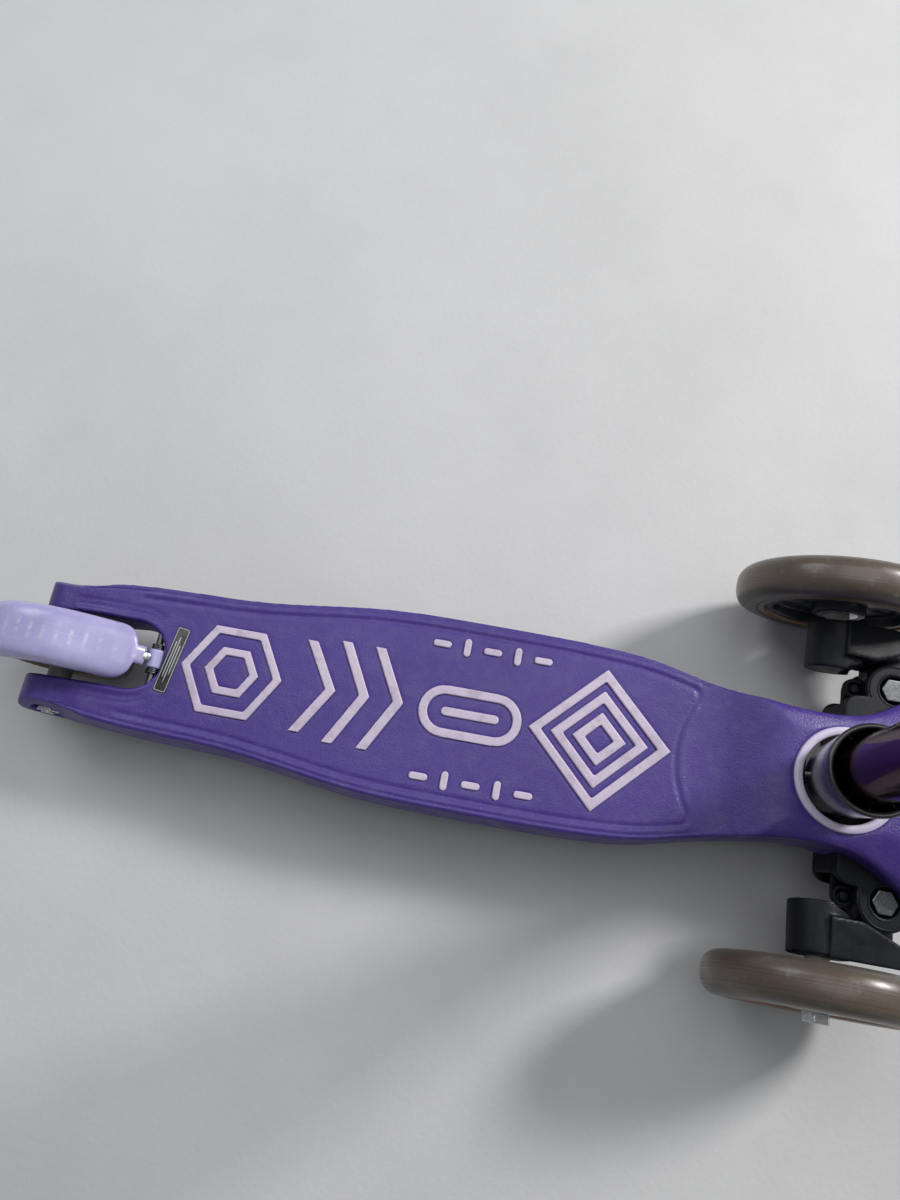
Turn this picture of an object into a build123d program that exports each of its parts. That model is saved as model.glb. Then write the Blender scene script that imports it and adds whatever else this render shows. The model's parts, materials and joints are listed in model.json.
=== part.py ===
from build123d import *
import math
import os

# Three-wheeled kick scooter for a small child, steered by leaning its bar.
# Frame: +X forward, +Y to the rider's left, +Z up, millimetres.
# The origin is on the floor, midway along the length and the width.

os.makedirs("parts", exist_ok=True)

# ---- driving dimensions -------------------------------------------------------------
deck_top = 62.0                 # standing surface above the floor
front_axle_x = 220.0
wheelbase = 456.0
rear_axle_x = front_axle_x - wheelbase

front_wheel_radius = 60.0
rear_wheel_radius = 40.0
wheel_width = 24.0
front_core_radius = 41.0
rear_core_radius = 25.0
wheel_centre_y = 110.7          # half the front track
camber = 6.4                    # degrees, tops leaning inwards

kingpin_x = 256.0
kingpin_y = 60.0
steering_arm = 18.0             # kingpin to tie rod, measured along X
tie_rod_z = 38.0

bar_x = 222.0                   # where the column meets the lean pivot
lean_pivot_z = 70.0
rake = 6.0                      # degrees the column leans back

running_clearance = 0.05        # shaft in a hole that it turns in
slip_clearance = 0.02           # pieces assembled by hand, no movement
slot_clearance = 0.25           # tie-rod studs in their slots
side_gap = 0.5                  # flat faces that pass each other

# deck
deck_wall = 4.0
deck_plate = 4.0
deck_skirt_z = 36.0
nose_front_x = 277.0
nose_top_z = 79.0
fork_tip_radius = 18.0
fork_tip_half = 40.0
wheel_slot_half = 20.0
wheel_slot_reach = 67.0         # from the rear axle to the front of the wheel slot
pocket_reach = 86.0             # from the rear axle to the hollow underside
pocket_front_x = 140.0
nose_pocket_rear_x = 158.0
nose_pocket_top_z = 60.0
rib_thickness = 2.4
rib_bottom_z = 44.0
inlay_height = 1.0
inlay_depth = 1.0
inlay_stroke = 5.2
label_width = 8.0
label_length = 40.0
label_corner = 1.2
label_thickness = 0.5
label_recess = 0.3

# collar and truck
collar_gap = 3.0                # round the foot of the cup
collar_width = 5.0
collar_height = 3.5
truck_rear_x = 228.0
truck_half_width = 54.0
truck_top_z = 57.0
truck_plate = 5.5
truck_cover_top_z = 27.0
truck_cover_thickness = 4.5
truck_wall = 2.5
kingpin_boss_radius = 16.0
kingpin_boss_drop = 4.0
lever_notch_half = 17.0
truck_block_rear_x = 246.0
truck_block_half = 40.0
truck_screw_x = 262.0
truck_screw_y = 34.0
truck_screw_radius = 2.5

# fasteners
bolt_radius = 4.0
bolt_head_height = 5.5
bolt_head_flats = 13.0
nut_height = 6.5
bearing_radius = 11.0
bearing_width = 7.0
bearing_gap = 8.0               # between the two bearings of a wheel
lean_pin_radius = 3.5
lean_pin_half_length = 32.0

# knuckle
knuckle_boss_radius = 16.0
knuckle_boss_inner = -44.7      # along the axle, from the wheel's centre
knuckle_boss_outer = -16.7
barrel_radius = 13.0
barrel_bottom_z = 28.0
arm_plate_bottom_z = 41.5
arm_plate_thickness = 5.0
stud_radius = 3.0

# column
tube_radius = 17.0
tube_wall = 1.5
tube_bottom = 8.0               # heights along the column from the lean pivot
tube_top = 372.0
slider_radius = 14.0
slider_wall = 1.4
slider_bottom = 230.0
bar_height = 543.0
bar_radius = 11.0
bar_half_length = 120.0
grip_length = 96.0
grip_radius = 14.5
cup_base_step = 4.0             # cup outside the tube, at its foot and at its rim
cup_rim_step = 6.0
cup_top = 56.0
cup_wall = 2.2
cup_floor = 24.0
hub_radius = 19.0
hub_bottom = -13.0
hub_foot_radius = 13.0
button_height = 38.0
button_radius = 5.0
clamp_bottom = 344.0
clamp_height = 32.0
clamp_wall = 4.5
ear_length = 19.0
ear_thickness = 6.5
ear_gap = 3.0
lever_clearance = 1.6           # closed lever to the clamp's ring

# brake
hinge_reach = 61.0              # from the rear axle forward to the brake hinge
hinge_z = 58.0
hinge_pin_radius = 2.0
hinge_sleeve_radius = 5.0
neck_half = 5.5
brake_pin_half = 19.0
fender_half = 16.5
fender_thickness = 3.0
fender_skirt = 10.0

# ---- frames shared by several pieces ------------------------------------------------
tan_radius = front_wheel_radius - wheel_width / 2
front_axle_z = tan_radius * math.cos(math.radians(camber)) + wheel_width / 2
rear_axle_z = rear_wheel_radius
cup_base_radius = tube_radius + cup_base_step
cup_rim_radius = tube_radius + cup_rim_step
collar_inner_radius = cup_base_radius + collar_gap
collar_outer_radius = collar_inner_radius + collar_width
wheel_slot_end_x = rear_axle_x + wheel_slot_reach
hinge_x = rear_axle_x + hinge_reach
pocket_rear_x = rear_axle_x + pocket_reach
tie_rod_x = kingpin_x - steering_arm
truck_plate_bottom_z = truck_top_z - truck_plate
barrel_top_z = truck_plate_bottom_z - kingpin_boss_drop - side_gap

column = Plane(
    origin=(bar_x, 0, lean_pivot_z),
    x_dir=(math.cos(math.radians(rake)), 0, math.sin(math.radians(rake))),
    z_dir=(-math.sin(math.radians(rake)), 0, math.cos(math.radians(rake))),
)


def section_plane(plane):
    """Plane that holds the axis of `plane`: x is its radius and y is its axis."""
    return Plane(origin=plane.origin, x_dir=plane.x_dir, z_dir=-plane.y_dir)


def axis_of(plane):
    return Axis(plane.origin, plane.z_dir)


def front_wheel_plane(side):
    """Frame of a front wheel: z runs outwards along the cambered axle."""
    tilt = math.radians(camber)
    outwards = (0, side * math.cos(tilt), math.sin(tilt))
    return Plane(origin=(front_axle_x, side * wheel_centre_y, front_axle_z), x_dir=(1, 0, 0),
                 z_dir=outwards)


rear_wheel_plane = Plane(origin=(rear_axle_x, 0, rear_axle_z), x_dir=(1, 0, 0), z_dir=(0, 1, 0))
section = section_plane(column)


def save(piece, label):
    piece.part.label = label
    export_step(piece.part, f"parts/{label}.step")


def half_section(plane, points):
    """Closed polygon of (radius, height) points beside a plane's z axis."""
    with BuildSketch(section_plane(plane)) as section_face:
        with BuildLine():
            Polyline(*points, close=True)
        make_face()
    return section_face.sketch


def ring(plane, outer, inner, low, high):
    """Half section of a plain sleeve round a plane's z axis."""
    return half_section(plane, [(inner, low), (outer, low), (outer, high), (inner, high)])


def block(low, high):
    """A box between two corners, as a solid to add or to cut."""
    size = [h - l for l, h in zip(low, high)]
    with BuildPart() as piece:
        with Locations(tuple((l + h) / 2 for l, h in zip(low, high))):
            Box(*size)
    return piece.part


def rod(start, end, radius):
    """A round bar between two points."""
    way = Vector(end) - Vector(start)
    with BuildPart() as piece:
        with BuildSketch(Plane(origin=start, z_dir=way)):
            Circle(radius)
        extrude(amount=way.length)
    return piece.part


# ---- deck ---------------------------------------------------------------------------
deck_side = [
    (rear_axle_x - fork_tip_radius, fork_tip_half),
    (rear_axle_x + 18, 42), (rear_axle_x + 51, 45), (rear_axle_x + 118, 47.6),
    (-51, 56), (16, 58.2), (83, 57.2), (116, 54), (148, 46.5),
    (183, 40), (205, 37.5), (225, 39), (240, 43.5), (255, 52), (268, 58),
]
nose_corner = [(268, 58), (nose_front_x - 2, 50), (nose_front_x, 25), (nose_front_x, 0)]

def deck_outline(inset=0.0, rear_x=-400.0, front_x=400.0):
    """The deck from above between two places along X, its long sides moved in by `inset`."""
    side = [(x, y - inset) for x, y in deck_side]
    corner = [(x, y - inset * (y > 0)) for x, y in nose_corner]
    with BuildSketch() as plan:
        with BuildLine():
            Line((side[0][0], 0), side[0])
            Spline(*side)
            Spline(*corner, tangents=[(1, 0.25), (0, -1)])
            mirror(about=Plane.XZ)
        make_face()
        with Locations(((rear_x + front_x) / 2, 0)):
            Rectangle(front_x - rear_x, 150, mode=Mode.INTERSECT)
    return plan.sketch


def rib_cells():
    """The hollow between the deck's ribs, from above."""
    with BuildSketch() as plan:
        add(deck_outline(deck_wall, pocket_rear_x, pocket_front_x))
        with Locations((0, 0), (0, 26), (0, -26)):
            Rectangle(300, rib_thickness, mode=Mode.SUBTRACT)
        with GridLocations(48, 0, 6, 1):
            Rectangle(rib_thickness, 120, mode=Mode.SUBTRACT)
    return plan.sketch


with BuildPart() as deck_shell:
    extrude(deck_outline(), amount=nose_top_z + 5)
    # side view of the deck, from the fork tips to the nose
    with BuildSketch(Plane.XZ):
        with BuildLine():
            low = (rear_axle_x, rear_axle_z - fork_tip_radius)
            back = (rear_axle_x - fork_tip_radius, rear_axle_z)
            high = (rear_axle_x, rear_axle_z + fork_tip_radius)
            ThreePointArc(low, back, high)
            Line(high, (rear_axle_x + 24, deck_top))
            Line((rear_axle_x + 24, deck_top), (143, deck_top))
            Spline((143, deck_top), (168, 69), (bar_x - 29, nose_top_z), tangents=[(1, 0), (1, 0.1)])
            Line((bar_x - 29, nose_top_z), (bar_x + 29, nose_top_z))
            Spline((bar_x + 29, nose_top_z), (nose_front_x, 66), tangents=[(1, 0), (0.6, -1)])
            Polyline((nose_front_x, 66), (nose_front_x, truck_top_z), (truck_rear_x, truck_top_z),
                     (truck_rear_x, deck_skirt_z), (rear_axle_x + 46, deck_skirt_z),
                     (rear_axle_x + 21, 25), low)
        make_face()
    extrude(amount=80, both=True, mode=Mode.INTERSECT)
    # the nose falls away to each side of the collar
    with BuildSketch(Plane.YZ.offset(143)):
        with BuildLine():
            Spline((0, nose_top_z + 1), (29, nose_top_z - 1), (42, 73), (56, 65.5), (75, 63))
            Polyline((75, 63), (75, 95), (0, 95))
            mirror(about=Plane.YZ)
        make_face()
    extrude(amount=140, mode=Mode.SUBTRACT)
    # hollow underside, with cells between the ribs
    extrude(deck_outline(deck_wall, pocket_rear_x, pocket_front_x), amount=rib_bottom_z,
            mode=Mode.SUBTRACT)
    extrude(rib_cells(), amount=deck_top - deck_plate, mode=Mode.SUBTRACT)
    extrude(deck_outline(deck_wall, nose_pocket_rear_x, truck_rear_x), amount=nose_pocket_top_z,
            mode=Mode.SUBTRACT)
    # rear wheel slot with a round end
    with BuildSketch(Plane.XY):
        slot_centre = wheel_slot_end_x - wheel_slot_half
        with Locations((slot_centre, 0)):
            Circle(wheel_slot_half)
        with Locations((slot_centre - 50, 0)):
            Rectangle(100, 2 * wheel_slot_half)
    extrude(amount=deck_top + 1, mode=Mode.SUBTRACT)
    # brake hinge pin bore
    with BuildSketch(Plane.XZ):
        with Locations((hinge_x, hinge_z)):
            Circle(hinge_pin_radius + slip_clearance)
    extrude(amount=brake_pin_half, both=True, mode=Mode.SUBTRACT)
    # rear axle bore and its two recesses
    with BuildSketch(Plane.XZ):
        with Locations((rear_axle_x, rear_axle_z)):
            Circle(bolt_radius + slip_clearance)
    extrude(amount=60, both=True, mode=Mode.SUBTRACT)
    for side in (1, -1):
        with BuildSketch(Plane.XZ.offset(-side * 33)):
            with Locations((rear_axle_x, rear_axle_z)):
                Circle(10.5)
        extrude(amount=-side * 20, mode=Mode.SUBTRACT)
    # room for the bar holder, under the collar
    with BuildSketch(Plane.XY):
        with Locations((bar_x, 0)):
            Rectangle(2 * (hub_radius + 1), 54)
    extrude(amount=nose_top_z - 4, mode=Mode.SUBTRACT)
    with BuildSketch(Plane.XY.offset(nose_top_z - 6)):
        with Locations((bar_x, 0)):
            Circle(collar_inner_radius)
    extrude(amount=10, mode=Mode.SUBTRACT)
    # seat of the collar ring
    with BuildSketch(Plane.XY.offset(nose_top_z - 2)):
        with Locations((bar_x, 0)):
            Circle(collar_outer_radius + slip_clearance)
    extrude(amount=10, mode=Mode.SUBTRACT)
    # lean pin bore, from the front
    with BuildSketch(Plane.YZ.offset(bar_x - lean_pin_half_length)):
        with Locations((0, lean_pivot_z)):
            Circle(lean_pin_radius + slip_clearance)
    extrude(amount=2 * lean_pin_half_length, mode=Mode.SUBTRACT)
    # pilot holes for the truck screws
    with BuildSketch(Plane.XY.offset(truck_top_z - 1)):
        with Locations((truck_screw_x, truck_screw_y), (truck_screw_x, -truck_screw_y)):
            Circle(truck_screw_radius + slip_clearance)
    extrude(amount=12, mode=Mode.SUBTRACT)
save(deck_shell, "deck_shell")


# ---- raised grip shapes: plain outlines sunk into shallow recesses of the deck -------
with BuildSketch() as grip_plan:
    # two nested hexagons
    with Locations((rear_axle_x + 108, 0)):
        RegularPolygon(30, 6)
        RegularPolygon(30 - inlay_stroke, 6, mode=Mode.SUBTRACT)
        RegularPolygon(16, 6)
        RegularPolygon(16 - inlay_stroke, 6, mode=Mode.SUBTRACT)
    # chevrons pointing forward
    for tip, half in ((-66, 27), (-46, 30), (-26, 30)):
        back = tip - 16
        step = 1.2 * inlay_stroke
        with BuildLine():
            Polyline((tip, 0), (back, half), (back - step, half), (tip - step, 0),
                     (back - step, -half), (back, -half), (tip, 0))
        make_face()
    # a long lozenge with a bar inside
    with Locations((13, 0)):
        SlotOverall(60, 30)
        SlotOverall(60 - 2 * inlay_stroke, 30 - 2 * inlay_stroke, mode=Mode.SUBTRACT)
        SlotOverall(34, inlay_stroke)
    # three nested squares on their corners
    with Locations((88, 0)):
        for size in (58, 40, 22):
            Rectangle(size, size, rotation=45)
            Rectangle(size - 2 * inlay_stroke, size - 2 * inlay_stroke, rotation=45, mode=Mode.SUBTRACT)
    # rows of short bars along both edges
    for side in (1, -1):
        for place in range(5):
            with Locations((-10 + 15 * place, side * 39)):
                SlotOverall(11, 4.2, rotation=90 if place % 2 else 0)

with BuildPart() as grip_inlay:
    extrude(grip_plan.sketch.moved(Location((0, 0, deck_top - inlay_depth))),
            amount=inlay_depth + inlay_height)
save(grip_inlay, "grip_inlay")

label_turn = -0.14              # radians
label_frame = Plane(origin=(rear_axle_x + 72, 1, deck_top),
                    x_dir=(math.cos(label_turn), math.sin(label_turn), 0), z_dir=(0, 0, 1))
with BuildPart() as deck_label:
    with BuildSketch(label_frame.offset(-label_recess)):
        RectangleRounded(label_width, label_length, label_corner)
    extrude(amount=label_thickness)
save(deck_label, "deck_label")

with BuildPart() as deck_recessed:
    add(deck_shell.part)
    extrude(grip_plan.sketch.moved(Location((0, 0, deck_top - inlay_depth))), amount=inlay_depth + 1,
            mode=Mode.SUBTRACT)
    with BuildSketch(label_frame.offset(-label_recess)):
        RectangleRounded(label_width + 2 * slip_clearance, label_length + 2 * slip_clearance, label_corner)
    extrude(amount=label_recess + 1, mode=Mode.SUBTRACT)
save(deck_recessed, "deck_shell")

# ---- collar ring on the nose ----------------------------------------------------------
collar_plane = Plane(origin=(bar_x, 0, nose_top_z - 2))
with BuildPart() as collar_ring:
    edge = 1.2
    revolve(half_section(collar_plane, [
        (collar_inner_radius, 0), (collar_outer_radius, 0), (collar_outer_radius, collar_height - edge),
        (collar_outer_radius - edge, collar_height), (collar_inner_radius + edge, collar_height),
        (collar_inner_radius, collar_height - edge)]), axis=axis_of(collar_plane))
save(collar_ring, "collar_ring")

# ---- truck: the cross beam that carries both kingpins ----------------------------------
kingpins = [(kingpin_x, side * kingpin_y) for side in (1, -1)]
truck_screws_at = [(truck_screw_x, side * truck_screw_y) for side in (1, -1)]


def truck_plan():
    """Outline shared by the beam's top plate and its cover."""
    length = nose_front_x - truck_rear_x
    with BuildSketch() as plan:
        with Locations((truck_rear_x + length / 2, 0)):
            RectangleRounded(length, 2 * truck_half_width, 8)
        with Locations(*kingpins):
            Circle(kingpin_boss_radius)
    return plan.sketch


with BuildPart() as truck_beam:
    extrude(truck_plan().moved(Location((0, 0, truck_plate_bottom_z))), amount=truck_plate)
    for centre in kingpins:
        add(rod((*centre, truck_plate_bottom_z - kingpin_boss_drop), (*centre, truck_top_z),
                kingpin_boss_radius))
    add(block((truck_block_rear_x, -truck_block_half, truck_cover_top_z),
              (nose_front_x, truck_block_half, truck_plate_bottom_z)))
    add(block((truck_block_rear_x + 4, -26, truck_cover_top_z), (nose_front_x - 4, -4, 48)),
        mode=Mode.SUBTRACT)
    add(block((truck_block_rear_x + 4, 4, truck_cover_top_z), (nose_front_x - 4, 26, 48)),
        mode=Mode.SUBTRACT)
    for side in (1, -1):
        near, far = sorted((side * lever_notch_half, side * (truck_half_width - 5)))
        add(block((truck_rear_x, near, truck_cover_top_z), (truck_rear_x + truck_wall, far,
                                                            truck_plate_bottom_z)))
        near, far = sorted((side * lever_notch_half, side * (lever_notch_half + 7)))
        add(block((truck_rear_x - 6, near, 40), (truck_rear_x + truck_wall, far, truck_plate_bottom_z)))
    add(block((truck_rear_x - 10, -lever_notch_half, truck_cover_top_z),
              (truck_rear_x + 10, lever_notch_half, truck_top_z + 1)), mode=Mode.SUBTRACT)
    for centre in kingpins:
        add(rod((*centre, 0), (*centre, 80), bolt_radius + slip_clearance), mode=Mode.SUBTRACT)
        add(rod((*centre, truck_plate_bottom_z), (*centre, 80), 8.2), mode=Mode.SUBTRACT)
    for centre in truck_screws_at:
        add(rod((*centre, 0), (*centre, 80), truck_screw_radius + slip_clearance), mode=Mode.SUBTRACT)
save(truck_beam, "truck_beam")

with BuildPart() as truck_cover:
    extrude(truck_plan().moved(Location((0, 0, truck_cover_top_z - truck_cover_thickness))),
            amount=truck_cover_thickness)
    for centre in kingpins:
        add(rod((*centre, 0), (*centre, 80), bolt_radius + slip_clearance), mode=Mode.SUBTRACT)
    for centre in truck_screws_at:
        add(rod((*centre, 0), (*centre, 80), truck_screw_radius + slip_clearance), mode=Mode.SUBTRACT)
save(truck_cover, "truck_cover")
truck_underside_z = truck_cover_top_z - truck_cover_thickness

with BuildPart() as truck_screws:
    for centre in truck_screws_at:
        add(rod((*centre, truck_underside_z), (*centre, truck_top_z + 10), truck_screw_radius))
        add(rod((*centre, truck_underside_z - 3), (*centre, truck_underside_z), 4.5))
save(truck_screws, "truck_screws")


def hexagon_prism(plane, flats, thickness):
    """A hexagonal head or nut, `flats` across, standing on a plane."""
    with BuildPart() as piece:
        with BuildSketch(plane):
            RegularPolygon(flats / 2, 6, major_radius=False)
        extrude(amount=thickness)
    return piece.part


with BuildPart() as kingpin_bolts:
    for centre in kingpins:
        add(rod((*centre, truck_underside_z - nut_height - 1), (*centre, truck_plate_bottom_z),
                bolt_radius))
        add(hexagon_prism(Plane(origin=(*centre, truck_plate_bottom_z)), bolt_head_flats,
                          bolt_head_height))
save(kingpin_bolts, "kingpin_bolts")

with BuildPart() as kingpin_nuts:
    for centre in kingpins:
        add(hexagon_prism(Plane(origin=(*centre, truck_underside_z - nut_height)), bolt_head_flats,
                          nut_height))
        add(rod((*centre, 0), (*centre, 80), bolt_radius + slip_clearance), mode=Mode.SUBTRACT)
save(kingpin_nuts, "kingpin_nuts")

# ---- lean pin, its bushes and the centring pads ----------------------------------------
pin_rear = bar_x - lean_pin_half_length
pin_front = bar_x + lean_pin_half_length
with BuildPart() as lean_pin:
    add(rod((pin_rear, 0, lean_pivot_z), (pin_front, 0, lean_pivot_z), lean_pin_radius))
save(lean_pin, "lean_pin")

bush_radius = 5.0
bush_spans = [(bar_x - 17, bar_x - 7), (bar_x + 7, bar_x + 17)]
with BuildPart() as lean_bushes:
    for low, high in bush_spans:
        add(rod((low, 0, lean_pivot_z), (high, 0, lean_pivot_z), bush_radius))
    add(rod((pin_rear, 0, lean_pivot_z), (pin_front, 0, lean_pivot_z),
            lean_pin_radius + running_clearance),
        mode=Mode.SUBTRACT)
save(lean_bushes, "lean_bushes")

lever_half = 7.0
pad_z = 46.0
with BuildPart() as centring_pads:
    for side in (1, -1):
        add(rod((225, side * (lever_half + 0.3), pad_z), (225, side * lever_notch_half, pad_z), 4.5))
save(centring_pads, "centring_pads")

# ---- tie rod ---------------------------------------------------------------------------
rod_half_thickness = 2.5
rod_top_z = tie_rod_z + rod_half_thickness
with BuildPart() as tie_rod:
    with BuildSketch(Plane.XY.offset(tie_rod_z - rod_half_thickness)):
        with Locations((tie_rod_x, 0)):
            SlotOverall(2 * kingpin_y + 9, 9, rotation=90)
    extrude(amount=2 * rod_half_thickness)
    add(rod((tie_rod_x, 0, tie_rod_z), (221, 0, tie_rod_z), 2.4))
    for side in (1, -1):
        add(rod((tie_rod_x, side * kingpin_y, rod_top_z), (tie_rod_x, side * kingpin_y,
                                                           rod_top_z + 6), stud_radius))
save(tie_rod, "tie_rod")

# ---- knuckles, their axle bolts and the front wheels -----------------------------------
sides = {"left": 1, "right": -1}
arm_plate_z = (arm_plate_bottom_z, arm_plate_bottom_z + arm_plate_thickness)


def steering_slot(side):
    """Slot of the steering arm, long enough for the stud to ride in it as the wheel turns."""
    with BuildSketch(Plane.XY.offset(arm_plate_z[0] - 1)) as slot:
        with Locations((tie_rod_x - 0.6, side * kingpin_y)):
            SlotOverall(2 * (stud_radius + slot_clearance) + 2.4, 2 * (stud_radius + slot_clearance))
    return slot.sketch


def knuckle(side):
    """Trailing arm that carries one front wheel and turns on its kingpin."""
    wheel = front_wheel_plane(side)
    arm_rear = side * (kingpin_y + 6)
    with BuildPart() as body:
        with BuildSketch(wheel.offset(knuckle_boss_inner)):
            Circle(knuckle_boss_radius)
        extrude(amount=knuckle_boss_outer - knuckle_boss_inner)
        with BuildSketch(Plane.XZ.offset(-side * 72)):
            with BuildLine():
                Polyline((front_axle_x, 75), (262, 67), (266, 62), (266, 46), (260, 41),
                         (front_axle_x, 43.5), close=True)
            make_face()
        extrude(amount=-side * 21)
        # the inner front corner is cut away to pass the truck
        with BuildSketch(Plane.XY.offset(barrel_top_z)):
            with BuildLine():
                Polyline((223, arm_rear), (272, side * (kingpin_y + 25.2)), (272, side * 55),
                         (223, side * 55), close=True)
            make_face()
        extrude(amount=60, mode=Mode.SUBTRACT)
        add(rod((kingpin_x, side * kingpin_y, barrel_bottom_z), (kingpin_x, side * kingpin_y,
                                                                 barrel_top_z),
                barrel_radius))
        with BuildSketch(Plane.XY.offset(30)):
            with BuildLine():
                Polyline((247, side * 60), (266, side * 60), (266, side * 92), (245, side * 92),
                         close=True)
            make_face()
        extrude(amount=barrel_top_z - 30)
        with BuildSketch(Plane.XY.offset(arm_plate_z[0])):
            with Locations(((tie_rod_x + kingpin_x) / 2, side * kingpin_y)):
                SlotOverall(steering_arm + 13.4, 12.5)
        extrude(amount=arm_plate_thickness)
        extrude(steering_slot(side), amount=arm_plate_thickness + 2, mode=Mode.SUBTRACT)
        add(rod((kingpin_x, side * kingpin_y, 0), (kingpin_x, side * kingpin_y, 80),
                bolt_radius + running_clearance),
            mode=Mode.SUBTRACT)
        with BuildSketch(wheel.offset(knuckle_boss_inner + 3)):
            Circle(bolt_radius + slip_clearance)
        extrude(amount=60, mode=Mode.SUBTRACT)
    return body


def axle_bolt(side):
    """Bolt from the wheel's outer face into the knuckle, with the spacer it clamps."""
    wheel = front_wheel_plane(side)
    face = bearing_gap / 2 + bearing_width
    with BuildPart() as bolt:
        with BuildSketch(wheel.offset(knuckle_boss_inner + 5)):
            Circle(bolt_radius)
        extrude(amount=face - knuckle_boss_inner - 5)
        add(hexagon_prism(wheel.offset(face), bolt_head_flats, bolt_head_height))
    with BuildPart() as spacer:
        revolve(ring(wheel, 6.5, bolt_radius + slip_clearance, knuckle_boss_outer, -face),
                axis=axis_of(wheel))
    return bolt, spacer


def wheel_pieces(plane, radius, core_radius, spokes):
    """Tyre, core, two bearings and the spacer between them, all round a plane's z axis."""
    half = wheel_width / 2
    face = bearing_gap / 2 + bearing_width
    rim_half = half - 1.5
    with BuildPart() as tyre:
        with BuildSketch(section_plane(plane)) as profile:
            with BuildLine():
                Polyline((radius - half, half), (core_radius + 3, half - 0.4), (core_radius, rim_half),
                         (core_radius, -rim_half), (core_radius + 3, 0.4 - half), (radius - half, -half))
                ThreePointArc((radius - half, -half), (radius, 0), (radius - half, half))
            make_face()
        revolve(profile.sketch, axis=axis_of(plane))
    with BuildPart() as core:
        seat = bearing_radius + slip_clearance
        hub = seat + 3.5
        revolve(half_section(plane, [
            (bearing_radius - 2.5, -bearing_gap / 2), (seat, -bearing_gap / 2), (seat, -face), (hub,
                                                                                                -face),
            (hub + 1, -4), (core_radius - 5, -4), (core_radius - 4, -rim_half), (core_radius, -rim_half),
            (core_radius, rim_half), (core_radius - 4, rim_half), (core_radius - 5, 4), (hub + 1, 4),
            (hub, face), (seat, face), (seat, bearing_gap / 2), (bearing_radius - 2.5, bearing_gap / 2)]),
            axis=axis_of(plane))
        window = core_radius - 5 - hub - 5
        if window > 6:
            with BuildSketch(plane.offset(-5)):
                with PolarLocations((core_radius - 5 + hub + 1) / 2, spokes):
                    Ellipse(window / 2, window * 0.42)
            extrude(amount=10, mode=Mode.SUBTRACT)
    with BuildPart() as bearings:
        revolve(ring(plane, bearing_radius, bolt_radius + running_clearance, bearing_gap / 2, face),
                axis=axis_of(plane))
        revolve(ring(plane, bearing_radius, bolt_radius + running_clearance, -face, -bearing_gap / 2),
                axis=axis_of(plane))
    with BuildPart() as spacer:
        revolve(ring(plane, 6.4, bolt_radius + running_clearance, -bearing_gap / 2, bearing_gap / 2),
                axis=axis_of(plane))
    return tyre, core, bearings, spacer


for name, side in sides.items():
    save(knuckle(side), f"knuckle_{name}")
    bolt, spacer = axle_bolt(side)
    save(bolt, f"front_axle_{name}")
    save(spacer, f"axle_spacer_{name}")
    tyre, core, bearings, sleeve = wheel_pieces(front_wheel_plane(side), front_wheel_radius,
                                                front_core_radius, 5)
    save(tyre, f"front_tyre_{name}")
    save(core, f"front_core_{name}")
    save(bearings, f"front_bearings_{name}")
    save(sleeve, f"bearing_sleeve_{name}")

# ---- rear wheel and its axle -----------------------------------------------------------
tyre, core, bearings, sleeve = wheel_pieces(rear_wheel_plane, rear_wheel_radius, rear_core_radius, 5)
save(tyre, "rear_tyre")
save(core, "rear_core")
save(bearings, "rear_bearings")
save(sleeve, "rear_bearing_sleeve")

recess_floor = 33.0
with BuildPart() as rear_axle:
    with BuildSketch(rear_wheel_plane.offset(-recess_floor - nut_height - 1)):
        Circle(bolt_radius)
    extrude(amount=2 * recess_floor + nut_height + 1)
    add(hexagon_prism(rear_wheel_plane.offset(recess_floor), bolt_head_flats, 5))
save(rear_axle, "rear_axle")
with BuildPart() as rear_nut:
    add(hexagon_prism(rear_wheel_plane.offset(-recess_floor - nut_height), bolt_head_flats, nut_height))
    with BuildSketch(rear_wheel_plane.offset(-recess_floor - nut_height - 1)):
        Circle(bolt_radius + slip_clearance)
    extrude(amount=nut_height + 2, mode=Mode.SUBTRACT)
save(rear_nut, "rear_nut")
with BuildPart() as rear_spacers:
    face = bearing_gap / 2 + bearing_width
    revolve(ring(rear_wheel_plane, 7, bolt_radius + slip_clearance, face, wheel_slot_half),
            axis=axis_of(rear_wheel_plane))
    revolve(ring(rear_wheel_plane, 7, bolt_radius + slip_clearance, -wheel_slot_half, -face),
            axis=axis_of(rear_wheel_plane))
save(rear_spacers, "rear_spacers")

# ---- fender brake ----------------------------------------------------------------------
fender_line = [
    (rear_axle_x + along, rear_axle_z + up) for along, up in (
        (48, 31), (31, 40), (14, 46.3), (-4, 48), (-22, 43.8), (-35, 34), (-43.8, 17),
    )
]


def fender_side(depth):
    """Side view of the fender: its outer curve and a copy `depth` nearer the wheel."""
    inner = []
    for x, z in fender_line:
        away = math.hypot(x - rear_axle_x, z - rear_axle_z)
        share = (away - depth) / away
        inner.append((rear_axle_x + (x - rear_axle_x) * share, rear_axle_z + (z - rear_axle_z) * share))
    with BuildSketch(Plane.XZ) as view:
        with BuildLine():
            Spline(*fender_line)
            Line(fender_line[-1], inner[-1])
            Spline(*reversed(inner))
            Line(inner[0], fender_line[0])
        make_face()
    return view.sketch


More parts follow.
